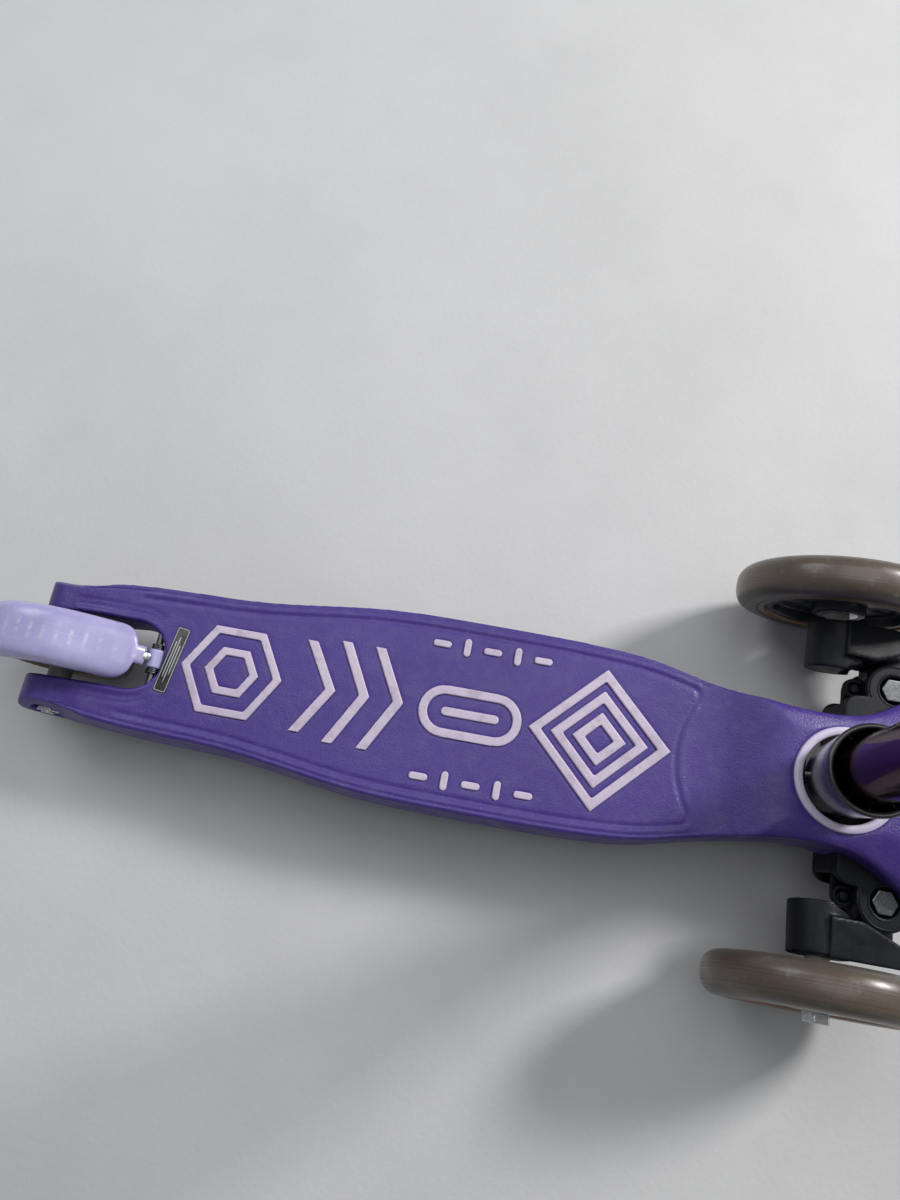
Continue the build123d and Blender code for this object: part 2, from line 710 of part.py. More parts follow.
with BuildPart() as fender:
    extrude(fender_side(fender_skirt), amount=fender_half, both=True)
    with BuildPart(mode=Mode.PRIVATE) as inside:
        extrude(fender_side(fender_skirt + 2), amount=fender_half - fender_thickness, both=True)
        extrude(fender_side(fender_thickness), amount=fender_half + 1, both=True, mode=Mode.SUBTRACT)
    add(inside.part, mode=Mode.SUBTRACT)
    # neck down to the hinge sleeve
    with BuildSketch(Plane.XZ):
        with BuildLine():
            Polyline((hinge_x - 19, 74.2), (hinge_x - 13, 71), (hinge_x - 2, 65.6),
                     (hinge_x, hinge_z + hinge_sleeve_radius),
                     (hinge_x - 4, hinge_z), (hinge_x - 8, 63.5), (hinge_x - 15, 67.2),
                     (hinge_x - 19, 69), close=True)
        make_face()
    extrude(amount=neck_half, both=True)
    add(rod((hinge_x, -neck_half, hinge_z), (hinge_x, neck_half, hinge_z), hinge_sleeve_radius))
    add(rod((hinge_x, -20, hinge_z), (hinge_x, 20, hinge_z), hinge_pin_radius + running_clearance),
        mode=Mode.SUBTRACT)
save(fender, "fender_brake")

with BuildPart() as brake_pin:
    add(rod((hinge_x, -brake_pin_half, hinge_z), (hinge_x, brake_pin_half, hinge_z), hinge_pin_radius))
save(brake_pin, "brake_pin")

with BuildPart() as brake_spring:
    for side in (1, -1):
        for turn in range(3):
            place = Plane(origin=(hinge_x, side * (neck_half + 0.7 + 1.05 * turn), hinge_z),
                          x_dir=(1, 0, 0),
                          z_dir=(0, 1, 0))
            with BuildSketch(section_plane(place)) as wire:
                with Locations((3.2, 0)):
                    Circle(0.5)
            revolve(wire.sketch, axis=axis_of(place))
save(brake_spring, "brake_spring")

# ---- steering column ---------------------------------------------------------------------
with BuildPart() as bar_holder:
    inner = cup_rim_radius - cup_wall
    revolve(half_section(column, [
        (0, hub_bottom), (hub_foot_radius, hub_bottom), (hub_radius, hub_bottom + 8), (hub_radius, 5),
        (cup_base_radius, 8), (cup_base_radius, 14), (cup_rim_radius, cup_top - 4), (cup_rim_radius,
                                                                                     cup_top),
        (inner, cup_top), (inner - 1, cup_floor), (tube_radius + slip_clearance, cup_floor),
        (tube_radius + slip_clearance, tube_bottom), (0, tube_bottom)]), axis=axis_of(column))
    # lever that swings the tie rod
    add(block((219, -lever_half, 31), (231, lever_half, lean_pivot_z + hub_bottom + 4)))
    add(block((210, -2.4 - slot_clearance, 34.5), (240, 2.4 + slot_clearance, 42)), mode=Mode.SUBTRACT)
    add(rod((pin_rear, 0, lean_pivot_z), (pin_front, 0, lean_pivot_z), lean_pin_radius + 0.3),
        mode=Mode.SUBTRACT)
    for low, high in bush_spans:
        add(rod((low - (5 if low < bar_x else 0), 0, lean_pivot_z),
                (high + (5 if low > bar_x else 0), 0, lean_pivot_z),
                bush_radius + slip_clearance), mode=Mode.SUBTRACT)
    # way for the release button, through the front of the cup
    button_hole = Plane(origin=column.from_local_coords((0, 0, button_height)), z_dir=column.x_dir)
    with BuildSketch(button_hole):
        Circle(button_radius + 0.6)
    extrude(amount=40, mode=Mode.SUBTRACT)
save(bar_holder, "bar_holder")

with BuildPart() as outer_tube:
    revolve(ring(column, tube_radius, tube_radius - tube_wall, tube_bottom, tube_top),
            axis=axis_of(column))
    with BuildSketch(button_hole):
        Circle(button_radius + 0.1)
    extrude(amount=40, mode=Mode.SUBTRACT)
save(outer_tube, "outer_tube")

# plug in the foot of the tube, which guides the release button and its spring
with BuildPart() as button_housing:
    revolve(ring(column, tube_radius - tube_wall - slip_clearance, 0, tube_bottom, button_height + 14),
            axis=axis_of(column))
    with BuildSketch(button_hole.offset(-8)):
        Circle(button_radius + 2.1)
    extrude(amount=40, mode=Mode.SUBTRACT)
save(button_housing, "button_housing")

with BuildPart() as release_button:
    revolve(half_section(button_hole, [
        (0, 7), (button_radius + 2, 7), (button_radius + 2, 10), (button_radius, 10),
        (button_radius, 24), (button_radius - 1, 25.5), (0, 25.5)]), axis=axis_of(button_hole))
save(release_button, "release_button")

with BuildPart() as button_spring:
    for turn in range(9):
        place = button_hole.offset(-7.4 + 1.7 * turn)
        with BuildSketch(section_plane(place)) as wire:
            with Locations((4.2, 0)):
                Circle(0.55)
        revolve(wire.sketch, axis=axis_of(place))
save(button_spring, "button_spring")

# ---- height clamp on the outer tube --------------------------------------------------------
clamp_plane = column.offset(clamp_bottom)
ear_front = tube_radius + clamp_wall - 1
ear_back = ear_front + ear_length
bolt_reach = ear_back - 7.5
with BuildPart() as height_clamp:
    revolve(ring(clamp_plane, tube_radius + clamp_wall, tube_radius + slip_clearance, 0, clamp_height),
            axis=axis_of(clamp_plane))
    with BuildSketch(clamp_plane):
        with Locations((-(ear_front + ear_back) / 2, 0)):
            Rectangle(ear_length, ear_gap + 2 * ear_thickness)
    extrude(amount=clamp_height)
    with BuildSketch(clamp_plane.offset(-1)):
        Circle(tube_radius + slip_clearance)
        with Locations((-30, 0)):
            Rectangle(60, ear_gap)
    extrude(amount=clamp_height + 2, mode=Mode.SUBTRACT)
    bolt_line = Plane(origin=clamp_plane.from_local_coords((-bolt_reach, 0, clamp_height / 2)),
                      z_dir=(0, 1, 0))
    with BuildSketch(bolt_line.offset(-30)):
        Circle(2.5 + slip_clearance)
    extrude(amount=60, mode=Mode.SUBTRACT)
save(height_clamp, "height_clamp")

ear_face = ear_gap / 2 + ear_thickness
pivot_y = ear_face + 6.3
lever_rise = tube_radius + clamp_wall + lever_clearance - pivot_y
lever_plane = Plane(origin=clamp_plane.from_local_coords((-bolt_reach, pivot_y, 0)),
                    x_dir=clamp_plane.x_dir,
                    z_dir=clamp_plane.z_dir)
with BuildPart() as clamp_bolt:
    with BuildSketch(bolt_line.offset(-ear_face - 3)):
        Circle(2.5)
    extrude(amount=ear_face + 3 + pivot_y)
    with BuildSketch(bolt_line.offset(-ear_face - 4)):
        Circle(5)
    extrude(amount=4)
    # barrel that the lever turns on
    with BuildSketch(lever_plane.offset(3)):
        Circle(3)
    extrude(amount=clamp_height - 6)
save(clamp_bolt, "clamp_bolt")

with BuildPart() as clamp_lever:
    with BuildSketch(lever_plane.offset(4)):
        Circle(6)
        with BuildLine():
            Spline((-2, 5.6), (bolt_reach - 18, lever_rise + 2), (bolt_reach, lever_rise + 3.2),
                   (bolt_reach + 15, lever_rise - 0.4))
            Line((bolt_reach + 15, lever_rise - 0.4), (bolt_reach + 14, lever_rise - 3.4))
            Spline((bolt_reach + 14, lever_rise - 3.4), (bolt_reach - 1, lever_rise),
                   (bolt_reach - 17, lever_rise - 1.8), (2, -1))
            Line((2, -1), (-2, 5.6))
        make_face()
    extrude(amount=clamp_height - 8)
    with BuildSketch(lever_plane):
        Circle(3 + running_clearance)
    extrude(amount=clamp_height, mode=Mode.SUBTRACT)
    # fork that clears the bolt as the lever swings
    with BuildSketch(lever_plane.offset(clamp_height / 2 - 3.2)):
        Circle(7.2)
    extrude(amount=6.4, mode=Mode.SUBTRACT)
save(clamp_lever, "clamp_lever")

# ---- sliding bar ---------------------------------------------------------------------------
guide_bore = slider_radius + running_clearance
with BuildPart() as top_guide:
    revolve(ring(column, tube_radius - tube_wall - slip_clearance, guide_bore, tube_top - 26, tube_top),
            axis=axis_of(column))
    revolve(ring(column, tube_radius, guide_bore, tube_top, tube_top + 3), axis=axis_of(column))
save(top_guide, "top_guide")

tee_half = 22.0
with BuildPart() as slider_tube:
    revolve(ring(column, slider_radius, slider_radius - slider_wall, slider_bottom,
                 bar_height - bar_radius - 1),
            axis=axis_of(column))
save(slider_tube, "slider_tube")

with BuildPart() as bottom_guide:
    sleeve_radius = tube_radius - tube_wall - running_clearance
    revolve(half_section(column, [
        (slider_radius - slider_wall - slip_clearance, slider_bottom), (sleeve_radius, slider_bottom - 4),
        (sleeve_radius, slider_bottom + 22), (slider_radius + slip_clearance, slider_bottom + 22),
        (slider_radius + slip_clearance, slider_bottom),
        (slider_radius - slider_wall - slip_clearance, slider_bottom)][:-1]),
        axis=axis_of(column))
save(bottom_guide, "bottom_guide")

bar_centre = column.from_local_coords((0, 0, bar_height))
bar_plane = Plane(origin=bar_centre, x_dir=column.x_dir, z_dir=(0, 1, 0))
with BuildPart() as tee_joint:
    revolve(ring(column, slider_radius + 3, 0, bar_height - 46, bar_height), axis=axis_of(column))
    revolve(ring(bar_plane, bar_radius + 3.5, 0, -tee_half, tee_half), axis=axis_of(bar_plane))
    revolve(ring(column, slider_radius + slip_clearance, 0, bar_height - 60, bar_height - bar_radius - 1),
            axis=axis_of(column), mode=Mode.SUBTRACT)
    revolve(ring(bar_plane, bar_radius + slip_clearance, 0, -30, 30), axis=axis_of(bar_plane),
            mode=Mode.SUBTRACT)
save(tee_joint, "tee_joint")

with BuildPart() as handlebar:
    revolve(ring(bar_plane, bar_radius, bar_radius - 1.5, -bar_half_length, bar_half_length),
            axis=axis_of(bar_plane))
save(handlebar, "handlebar")

for name, side in sides.items():
    with BuildPart() as grip:
        start = bar_half_length - grip_length + 4
        end = bar_half_length + 4
        bore = bar_radius + slip_clearance
        outline = [(bore, start), (grip_radius + 4, start), (grip_radius + 4, start + 3),
                   (grip_radius, start + 6),
                   (grip_radius + 0.8, start + 50), (grip_radius, end - 12), (grip_radius + 3, end - 8),
                   (grip_radius + 3, end - 2), (grip_radius, end), (0, end), (0, end - 3.5), (bore,
                                                                                              end - 3.5)]
        profile = half_section(bar_plane, [(radius, side * place) for radius, place in outline])
        revolve(profile, axis=axis_of(bar_plane))
    save(grip, f"grip_{name}")
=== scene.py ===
"""Three-wheeled kick scooter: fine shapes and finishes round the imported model."""
import json
import logging
import math
from collections.abc import Callable, Sequence
from dataclasses import dataclass
from enum import Enum
from functools import cache

import bmesh
import bpy
import numpy as np
from mathutils import Matrix, Vector


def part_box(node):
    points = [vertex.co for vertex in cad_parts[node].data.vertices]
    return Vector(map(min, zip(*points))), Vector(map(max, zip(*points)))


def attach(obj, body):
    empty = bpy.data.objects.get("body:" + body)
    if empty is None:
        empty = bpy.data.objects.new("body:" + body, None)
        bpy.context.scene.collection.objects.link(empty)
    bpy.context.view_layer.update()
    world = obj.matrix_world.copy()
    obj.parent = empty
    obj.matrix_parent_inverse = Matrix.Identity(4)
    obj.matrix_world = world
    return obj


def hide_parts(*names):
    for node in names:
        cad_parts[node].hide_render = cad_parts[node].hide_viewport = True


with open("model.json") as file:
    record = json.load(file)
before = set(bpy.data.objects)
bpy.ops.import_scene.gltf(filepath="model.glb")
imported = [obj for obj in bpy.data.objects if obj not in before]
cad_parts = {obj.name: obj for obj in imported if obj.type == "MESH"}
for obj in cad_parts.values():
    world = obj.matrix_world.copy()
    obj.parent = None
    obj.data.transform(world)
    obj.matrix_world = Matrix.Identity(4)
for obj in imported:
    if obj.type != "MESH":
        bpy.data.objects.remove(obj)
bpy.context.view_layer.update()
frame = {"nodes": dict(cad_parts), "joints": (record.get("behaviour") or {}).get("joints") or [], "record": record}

BODY_OF = {node: body for body, nodes in frame["record"]["behaviour"]["bodies"].items() for node in nodes}
JOINTS = {joint["name"]: joint for joint in frame["joints"]}
LOG = logging.getLogger("scooter")

Colour = tuple[float, float, float]
Outline = Sequence[tuple[float, float]]
Socket = bpy.types.NodeSocket
MM = 0.001
FULL_TURN = 2 * math.pi


class Side(Enum):
    """The two sides of the scooter, as its rider names them."""

    LEFT = "left"
    RIGHT = "right"

    @property
    def sign(self) -> int:
        """Direction of this side along Y."""
        return 1 if self is Side.LEFT else -1


# ---- shaders ----
class ShaderSheet:
    """Lays out the nodes of one procedural material round a Principled shader."""

    def __init__(self, name: str, roughness: float) -> None:
        """Starts a material.

        Args:
            name: the material's name.
            roughness: its roughness where nothing else sets it.
        """
        self.material = bpy.data.materials.new(name)
        self.material.use_nodes = True
        self.tree = self.material.node_tree
        self.tree.nodes.clear()
        self.shader = self.node("BsdfPrincipled", Roughness=roughness)
        self.node("OutputMaterial", Surface=self.shader.outputs[0])
        coordinates = self.node("TexCoord")
        self.place = coordinates.outputs["Object"]
        self.normal = coordinates.outputs["Normal"]

    def feed(self, socket: Socket, value: Socket | float | Sequence[float]) -> None:
        """Links a socket to another, or sets its value."""
        if isinstance(value, Socket):
            self.tree.links.new(value, socket)
        else:
            socket.default_value = value

    def node(self, kind: str, **inputs: Socket | float | Sequence[float]) -> bpy.types.Node:
        """Adds a node.

        Args:
            kind: its type, without the leading "ShaderNode".
            **inputs: sockets or values for its inputs, by name.

        Returns:
            The new node.
        """
        node = self.tree.nodes.new("ShaderNode" + kind)
        for name, value in inputs.items():
            self.feed(node.inputs[name], value)
        return node

    def stretched(self, x: float, y: float, z: float, turn: float = 0.0) -> Socket:
        """Object coordinates with another scale along each axis.

        Args:
            x: scale along X.
            y: scale along Y.
            z: scale along Z.
            turn: turn about Z, in radians.

        Returns:
            The stretched coordinates.
        """
        return self.node("Mapping", Scale=(x, y, z), Rotation=(0.0, 0.0, turn), Vector=self.place).outputs[0]

    def noise(self, scale: float, detail: float = 4.0, place: Socket | None = None,
              rough: float = 0.55) -> Socket:
        """Fractal noise.

        Args:
            scale: features in a metre.
            detail: number of finer octaves.
            place: coordinates, if not the object's own.
            rough: strength of the finer octaves.

        Returns:
            A value round 0.5.
        """
        spot = place or self.place
        return self.node("TexNoise", Scale=scale, Detail=detail, Roughness=rough, Vector=spot).outputs[0]

    def cells(self, scale: float) -> Socket:
        """Distance to the nearest of scattered points, as in a leather grain."""
        return self.node("TexVoronoi", Scale=scale, Vector=self.place).outputs["Distance"]

    def share(self, source: Socket, low: float, high: float, start: float = 0.0,
              end: float = 1.0) -> Socket:
        """Maps a value smoothly from one range to another.

        Args:
            source: the value.
            low: value that gives `start`.
            high: value that gives `end`.
            start: result at `low`.
            end: result at `high`.

        Returns:
            The mapped value.
        """
        mapped = self.node("MapRange")
        mapped.interpolation_type = "SMOOTHSTEP"
        for socket, value in zip(mapped.inputs, (source, low, high, start, end)):
            self.feed(socket, value)
        return mapped.outputs[0]

    def arithmetic(self, operation: str, *values: Socket | float) -> Socket:
        """Works out one operation.

        Args:
            operation: the operation's name in a math node.
            *values: what goes in, sockets or numbers.

        Returns:
            The result.
        """
        node = self.node("Math")
        node.operation = operation
        for socket, value in zip(node.inputs, values):
            self.feed(socket, value)
        return node.outputs[0]

    def sum(self, first: Socket, second: Socket, weight: float = 1.0) -> Socket:
        """First plus `weight` times second."""
        return self.arithmetic("MULTIPLY_ADD", second, weight, first)

    def product(self, first: Socket, second: Socket) -> Socket:
        """The two values multiplied."""
        return self.arithmetic("MULTIPLY", first, second)

    def parts(self, vector: Socket) -> Sequence[Socket]:
        """The x, y and z of a vector."""
        return self.node("SeparateXYZ", Vector=vector).outputs

    def paint(self, share: Socket, under: Socket | Colour, over: Colour) -> Socket:
        """Lays one colour over another.

        Args:
            share: how much of the upper colour shows.
            under: the lower colour.
            over: the upper colour.

        Returns:
            The mixed colour.
        """
        mix = self.node("Mix")
        mix.data_type = "RGBA"
        self.feed(mix.inputs[0], share)
        self.feed(mix.inputs[6], under if isinstance(under, Socket) else (*under, 1.0))
        self.feed(mix.inputs[7], (*over, 1.0))
        return mix.outputs[2]

    def edges(self, low: float, high: float) -> Socket:
        """How far a spot stands out as an outer edge."""
        return self.share(self.node("NewGeometry").outputs["Pointiness"], low, high)

    def facing_up(self) -> Socket:
        """How far a surface faces up, where dust settles."""
        return self.share(self.parts(self.normal)[2], 0.35, 0.95)

    def marked(self, name: str) -> Socket:
        """A value that the mesh carries at each point."""
        node = self.node("Attribute")
        node.attribute_name = name
        return node.outputs["Fac"]

    def relief(self, height: Socket, depth: float) -> None:
        """Adds fine relief to the surface.

        Args:
            height: the relief's height, 0 to 1.
            depth: the depth of a full step, in metres.
        """
        bump = self.node("Bump", Strength=1.0, Distance=depth, Height=height)
        normal = self.shader.inputs["Normal"]
        if normal.is_linked:
            self.feed(bump.inputs["Normal"], normal.links[0].from_socket)
        self.feed(normal, bump.outputs[0])

    def body(self, glow: float, depth: float, coat: float, coat_roughness: float,
             radius: Colour | None = None) -> None:
        """Sets the light that a plastic scatters inside and its clear coat.

        Args:
            glow: share of the light that is scattered inside.
            depth: how deep it goes, in metres.
            coat: strength of the coat.
            coat_roughness: its roughness.
            radius: depth of red, green and blue, if not the usual ones.
        """
        inputs = self.shader.inputs
        inputs["Subsurface Weight"].default_value = glow
        inputs["Subsurface Scale"].default_value = depth
        if radius:
            inputs["Subsurface Radius"].default_value = radius
        self.coat(coat, coat_roughness)

    def coat(self, weight: float, roughness: float) -> None:
        """Sets the clear coat."""
        self.shader.inputs["Coat Weight"].default_value = weight
        self.shader.inputs["Coat Roughness"].default_value = roughness

    def finish(self, colour: Socket, gloss: Socket) -> bpy.types.Material:
        """Joins colour and roughness to the shader.

        Args:
            colour: the surface's colour.
            gloss: its roughness.

        Returns:
            The finished material.
        """
        self.feed(self.shader.inputs["Base Color"], colour)
        self.feed(self.shader.inputs["Roughness"], gloss)
        return self.material


@dataclass(frozen=True)
class Moulded:
    """Injection-moulded plastic: fine grain, mottling, scuffs, dust and worn edges."""

    name: str
    slot: str
    colour: Colour
    shade: Colour
    worn: Colour
    roughness: float = 0.45
    grain: float = 1100.0
    grain_depth: float = 0.00005
    dust: float = 0.25
    dust_colour: Colour = (0.42, 0.40, 0.38)
    scuffs: float = 0.3
    glow: float = 0.0
    coat: float = 0.0
    shine: float = 0.5

    def material(self) -> bpy.types.Material:
        """The material with its nodes."""
        sheet = ShaderSheet(self.name, self.roughness)
        colour = sheet.paint(sheet.share(sheet.noise(14.0), 0.25, 0.75), self.colour, self.shade)
        speckle = sheet.share(sheet.noise(900.0, 2.0), 0.45, 0.75, 0.0, 0.22)
        colour = sheet.paint(speckle, colour, self.shade)
        streaks = sheet.noise(1.0, 5.0, sheet.stretched(18.0, 420.0, 300.0, 0.5))
        second = sheet.noise(1.0, 5.0, sheet.stretched(30.0, 520.0, 300.0, -0.9))
        scratch = sheet.sum(sheet.share(streaks, 0.68, 0.76, 0.0, self.scuffs),
                            sheet.share(second, 0.69, 0.77, 0.0, self.scuffs))
        patches = sheet.share(sheet.noise(35.0, 6.0), 0.48, 0.72)
        colour = sheet.paint(sheet.product(scratch, patches), colour, self.worn)
        specks = sheet.share(sheet.noise(110.0, 9.0, rough=0.75), 0.45, 0.75, 0.0, self.dust)
        dusty = sheet.product(specks, sheet.facing_up())
        colour = sheet.paint(dusty, colour, self.dust_colour)
        uneven = sheet.share(sheet.noise(160.0), 0.35, 0.65, 0.1, 0.75)
        colour = sheet.paint(sheet.product(sheet.edges(0.52, 0.62), uneven), colour, self.worn)
        low, high = self.roughness - 0.07, self.roughness + 0.1
        gloss = sheet.sum(sheet.share(sheet.noise(70.0, 6.0), 0.3, 0.7, low, high), dusty, 0.3)
        cells = sheet.share(sheet.cells(self.grain), 0.05, 0.6)
        sheet.relief(sheet.sum(cells, sheet.noise(self.grain * 2.2, 2.0), 0.5), self.grain_depth)
        sheet.relief(sheet.noise(120.0, 3.0), self.grain_depth * 2.0)
        sheet.body(self.glow, 0.004, self.coat, 0.12)
        sheet.shader.inputs["Specular IOR Level"].default_value = self.shine
        return sheet.finish(colour, gloss)


@dataclass(frozen=True)
class Metal:
    """Drawn, plated or anodised metal with fine lines along one axis."""

    name: str
    slot: str
    colour: Colour
    shade: Colour
    roughness: float = 0.28
    lines: tuple[float, float, float] = (900.0, 900.0, 40.0)
    depth: float = 0.000012
    coat: float = 0.0

    def material(self) -> bpy.types.Material:
        """The material with its nodes."""
        sheet = ShaderSheet(self.name, self.roughness)
        drawn = sheet.noise(1.0, 4.0, sheet.stretched(*self.lines))
        colour = sheet.paint(sheet.share(drawn, 0.35, 0.7), self.colour, self.shade)
        colour = sheet.paint(sheet.share(sheet.noise(400.0, 6.0), 0.55, 0.85, 0.0, 0.35), colour, self.shade)
        low, high = self.roughness - 0.03, self.roughness + 0.06
        gloss = sheet.share(sheet.noise(300.0, 6.0), 0.3, 0.75, low, high)
        gloss = sheet.sum(gloss, sheet.share(drawn, 0.3, 0.7), 0.04)
        sheet.relief(drawn, self.depth)
        sheet.shader.inputs["Metallic"].default_value = 1.0
        sheet.coat(self.coat, 0.08)
        return sheet.finish(colour, gloss)


@dataclass(frozen=True)
class Cast:
    """Smoky cast polyurethane of a wheel, with a painted warm glow near its core."""

    name: str
    slot: str
    colour: Colour = (0.100, 0.086, 0.066)
    deep: Colour = (0.060, 0.051, 0.040)
    # painted glow: this amber tone stands in for light shining through the tyre near its core
    painted_glow: Colour = (0.26, 0.115, 0.040)
    rim: Colour = (0.13, 0.075, 0.050)
    dust: Colour = (0.27, 0.255, 0.225)
    roughness: float = 0.34

    def material(self) -> bpy.types.Material:
        """The material with its nodes."""
        sheet = ShaderSheet(self.name, self.roughness)
        reach, across = sheet.marked("reach"), sheet.marked("across")
        rings = sheet.noise(26.0, 5.0, sheet.node("CombineXYZ", X=reach, Y=across).outputs[0])
        colour = sheet.paint(sheet.share(rings, 0.35, 0.68), self.colour, self.deep)
        # painted glow: amber colour painted in towards the core, in place of light shining through the tyre
        colour = sheet.paint(sheet.share(reach, 0.3, 0.02, 0.0, 0.85), colour, self.painted_glow)
        colour = sheet.paint(sheet.share(reach, 0.86, 1.0, 0.0, 0.35), colour, self.rim)
        colour = sheet.paint(sheet.share(sheet.noise(28.0, 5.0), 0.5, 0.8, 0.0, 0.35), colour, self.deep)
        dirt = sheet.share(sheet.noise(120.0, 8.0, rough=0.75), 0.52, 0.75, 0.0, 0.55)
        worn = sheet.sum(sheet.share(reach, 0.7, 1.0, 0.15, 0.8), sheet.share(rings, 0.5, 0.7), 0.2)
        dusty = sheet.product(dirt, worn)
        colour = sheet.paint(dusty, colour, self.dust)
        low, high = self.roughness - 0.06, self.roughness + 0.1
        gloss = sheet.sum(sheet.share(rings, 0.3, 0.7, low, high), dusty, 0.45)
        sheet.relief(sheet.sum(rings, sheet.noise(1300.0, 3.0), 0.35), 0.00008)
        sheet.body(0.45, 0.008, 0.25, 0.18, (1.0, 0.45, 0.2))
        return sheet.finish(colour, gloss)


@dataclass(frozen=True)
class Frosted:
    """Pale see-through plastic of the fender, with bands of light across it."""

    name: str
    slot: str
    colour: Colour = (0.43, 0.40, 0.66)
    deep: Colour = (0.36, 0.33, 0.58)
    band: Colour = (0.62, 0.59, 0.80)
    grime: Colour = (0.27, 0.25, 0.33)
    roughness: float = 0.27
    centre: tuple[float, float] = (-0.236, 0.040)
    pitch: float = 9.0

    def material(self) -> bpy.types.Material:
        """The material with its nodes."""
        sheet = ShaderSheet(self.name, self.roughness)
        x, _, z = sheet.parts(sheet.place)
        ahead = sheet.arithmetic("SUBTRACT", x, self.centre[0])
        above = sheet.arithmetic("SUBTRACT", z, self.centre[1])
        angle = sheet.arithmetic("ARCTAN2", above, ahead)
        wave = sheet.arithmetic("SINE", sheet.arithmetic("MULTIPLY", angle, 360.0 / self.pitch))
        colour = sheet.paint(sheet.share(sheet.noise(30.0, 4.0), 0.35, 0.7), self.colour, self.deep)
        crown = sheet.share(sheet.marked("crown"), 0.55, 0.9)
        broken = sheet.share(sheet.noise(1.0, 3.0, sheet.stretched(160.0, 420.0, 160.0)), 0.35, 0.65)
        bands = sheet.product(sheet.product(sheet.share(wave, 0.3, 1.0, 0.0, 0.7), crown), broken)
        colour = sheet.paint(bands, colour, self.band)
        dirt = sheet.share(sheet.noise(110.0, 8.0, rough=0.7), 0.52, 0.78, 0.0, 0.4)
        colour = sheet.paint(dirt, colour, self.grime)
        streaks = sheet.noise(1.0, 5.0, sheet.stretched(30.0, 500.0, 60.0, 0.2))
        colour = sheet.paint(sheet.share(streaks, 0.66, 0.74, 0.0, 0.5), colour, self.band)
        low, high = self.roughness - 0.06, self.roughness + 0.08
        gloss = sheet.sum(sheet.share(sheet.noise(80.0, 5.0), 0.3, 0.7, low, high), dirt, 0.25)
        sheet.relief(sheet.noise(1500.0, 3.0), 0.00003)
        sheet.relief(sheet.noise(90.0, 2.0), 0.00012)
        sheet.body(0.5, 0.006, 0.3, 0.2, (0.8, 0.7, 1.0))
        return sheet.finish(colour, gloss)


@dataclass(frozen=True)
class Concrete:
    """Plain pale floor with a faint trowelled tone."""

    name: str = "pale_floor"
    colour: Colour = (0.57, 0.57, 0.575)
    shade: Colour = (0.52, 0.52, 0.525)

    def material(self) -> bpy.types.Material:
        """The material with its nodes."""
        sheet = ShaderSheet(self.name, 0.8)
        clouds = sheet.share(sheet.noise(3.5, 8.0, rough=0.65), 0.35, 0.7)
        colour = sheet.paint(clouds, self.colour, self.shade)
        colour = sheet.paint(sheet.share(sheet.noise(420.0, 3.0), 0.5, 0.8, 0.0, 0.35), colour, self.shade)
        gloss = sheet.share(sheet.noise(12.0), 0.3, 0.7, 0.7, 0.9)
        sheet.relief(sheet.noise(260.0, 5.0), 0.0002)
        return sheet.finish(colour, gloss)


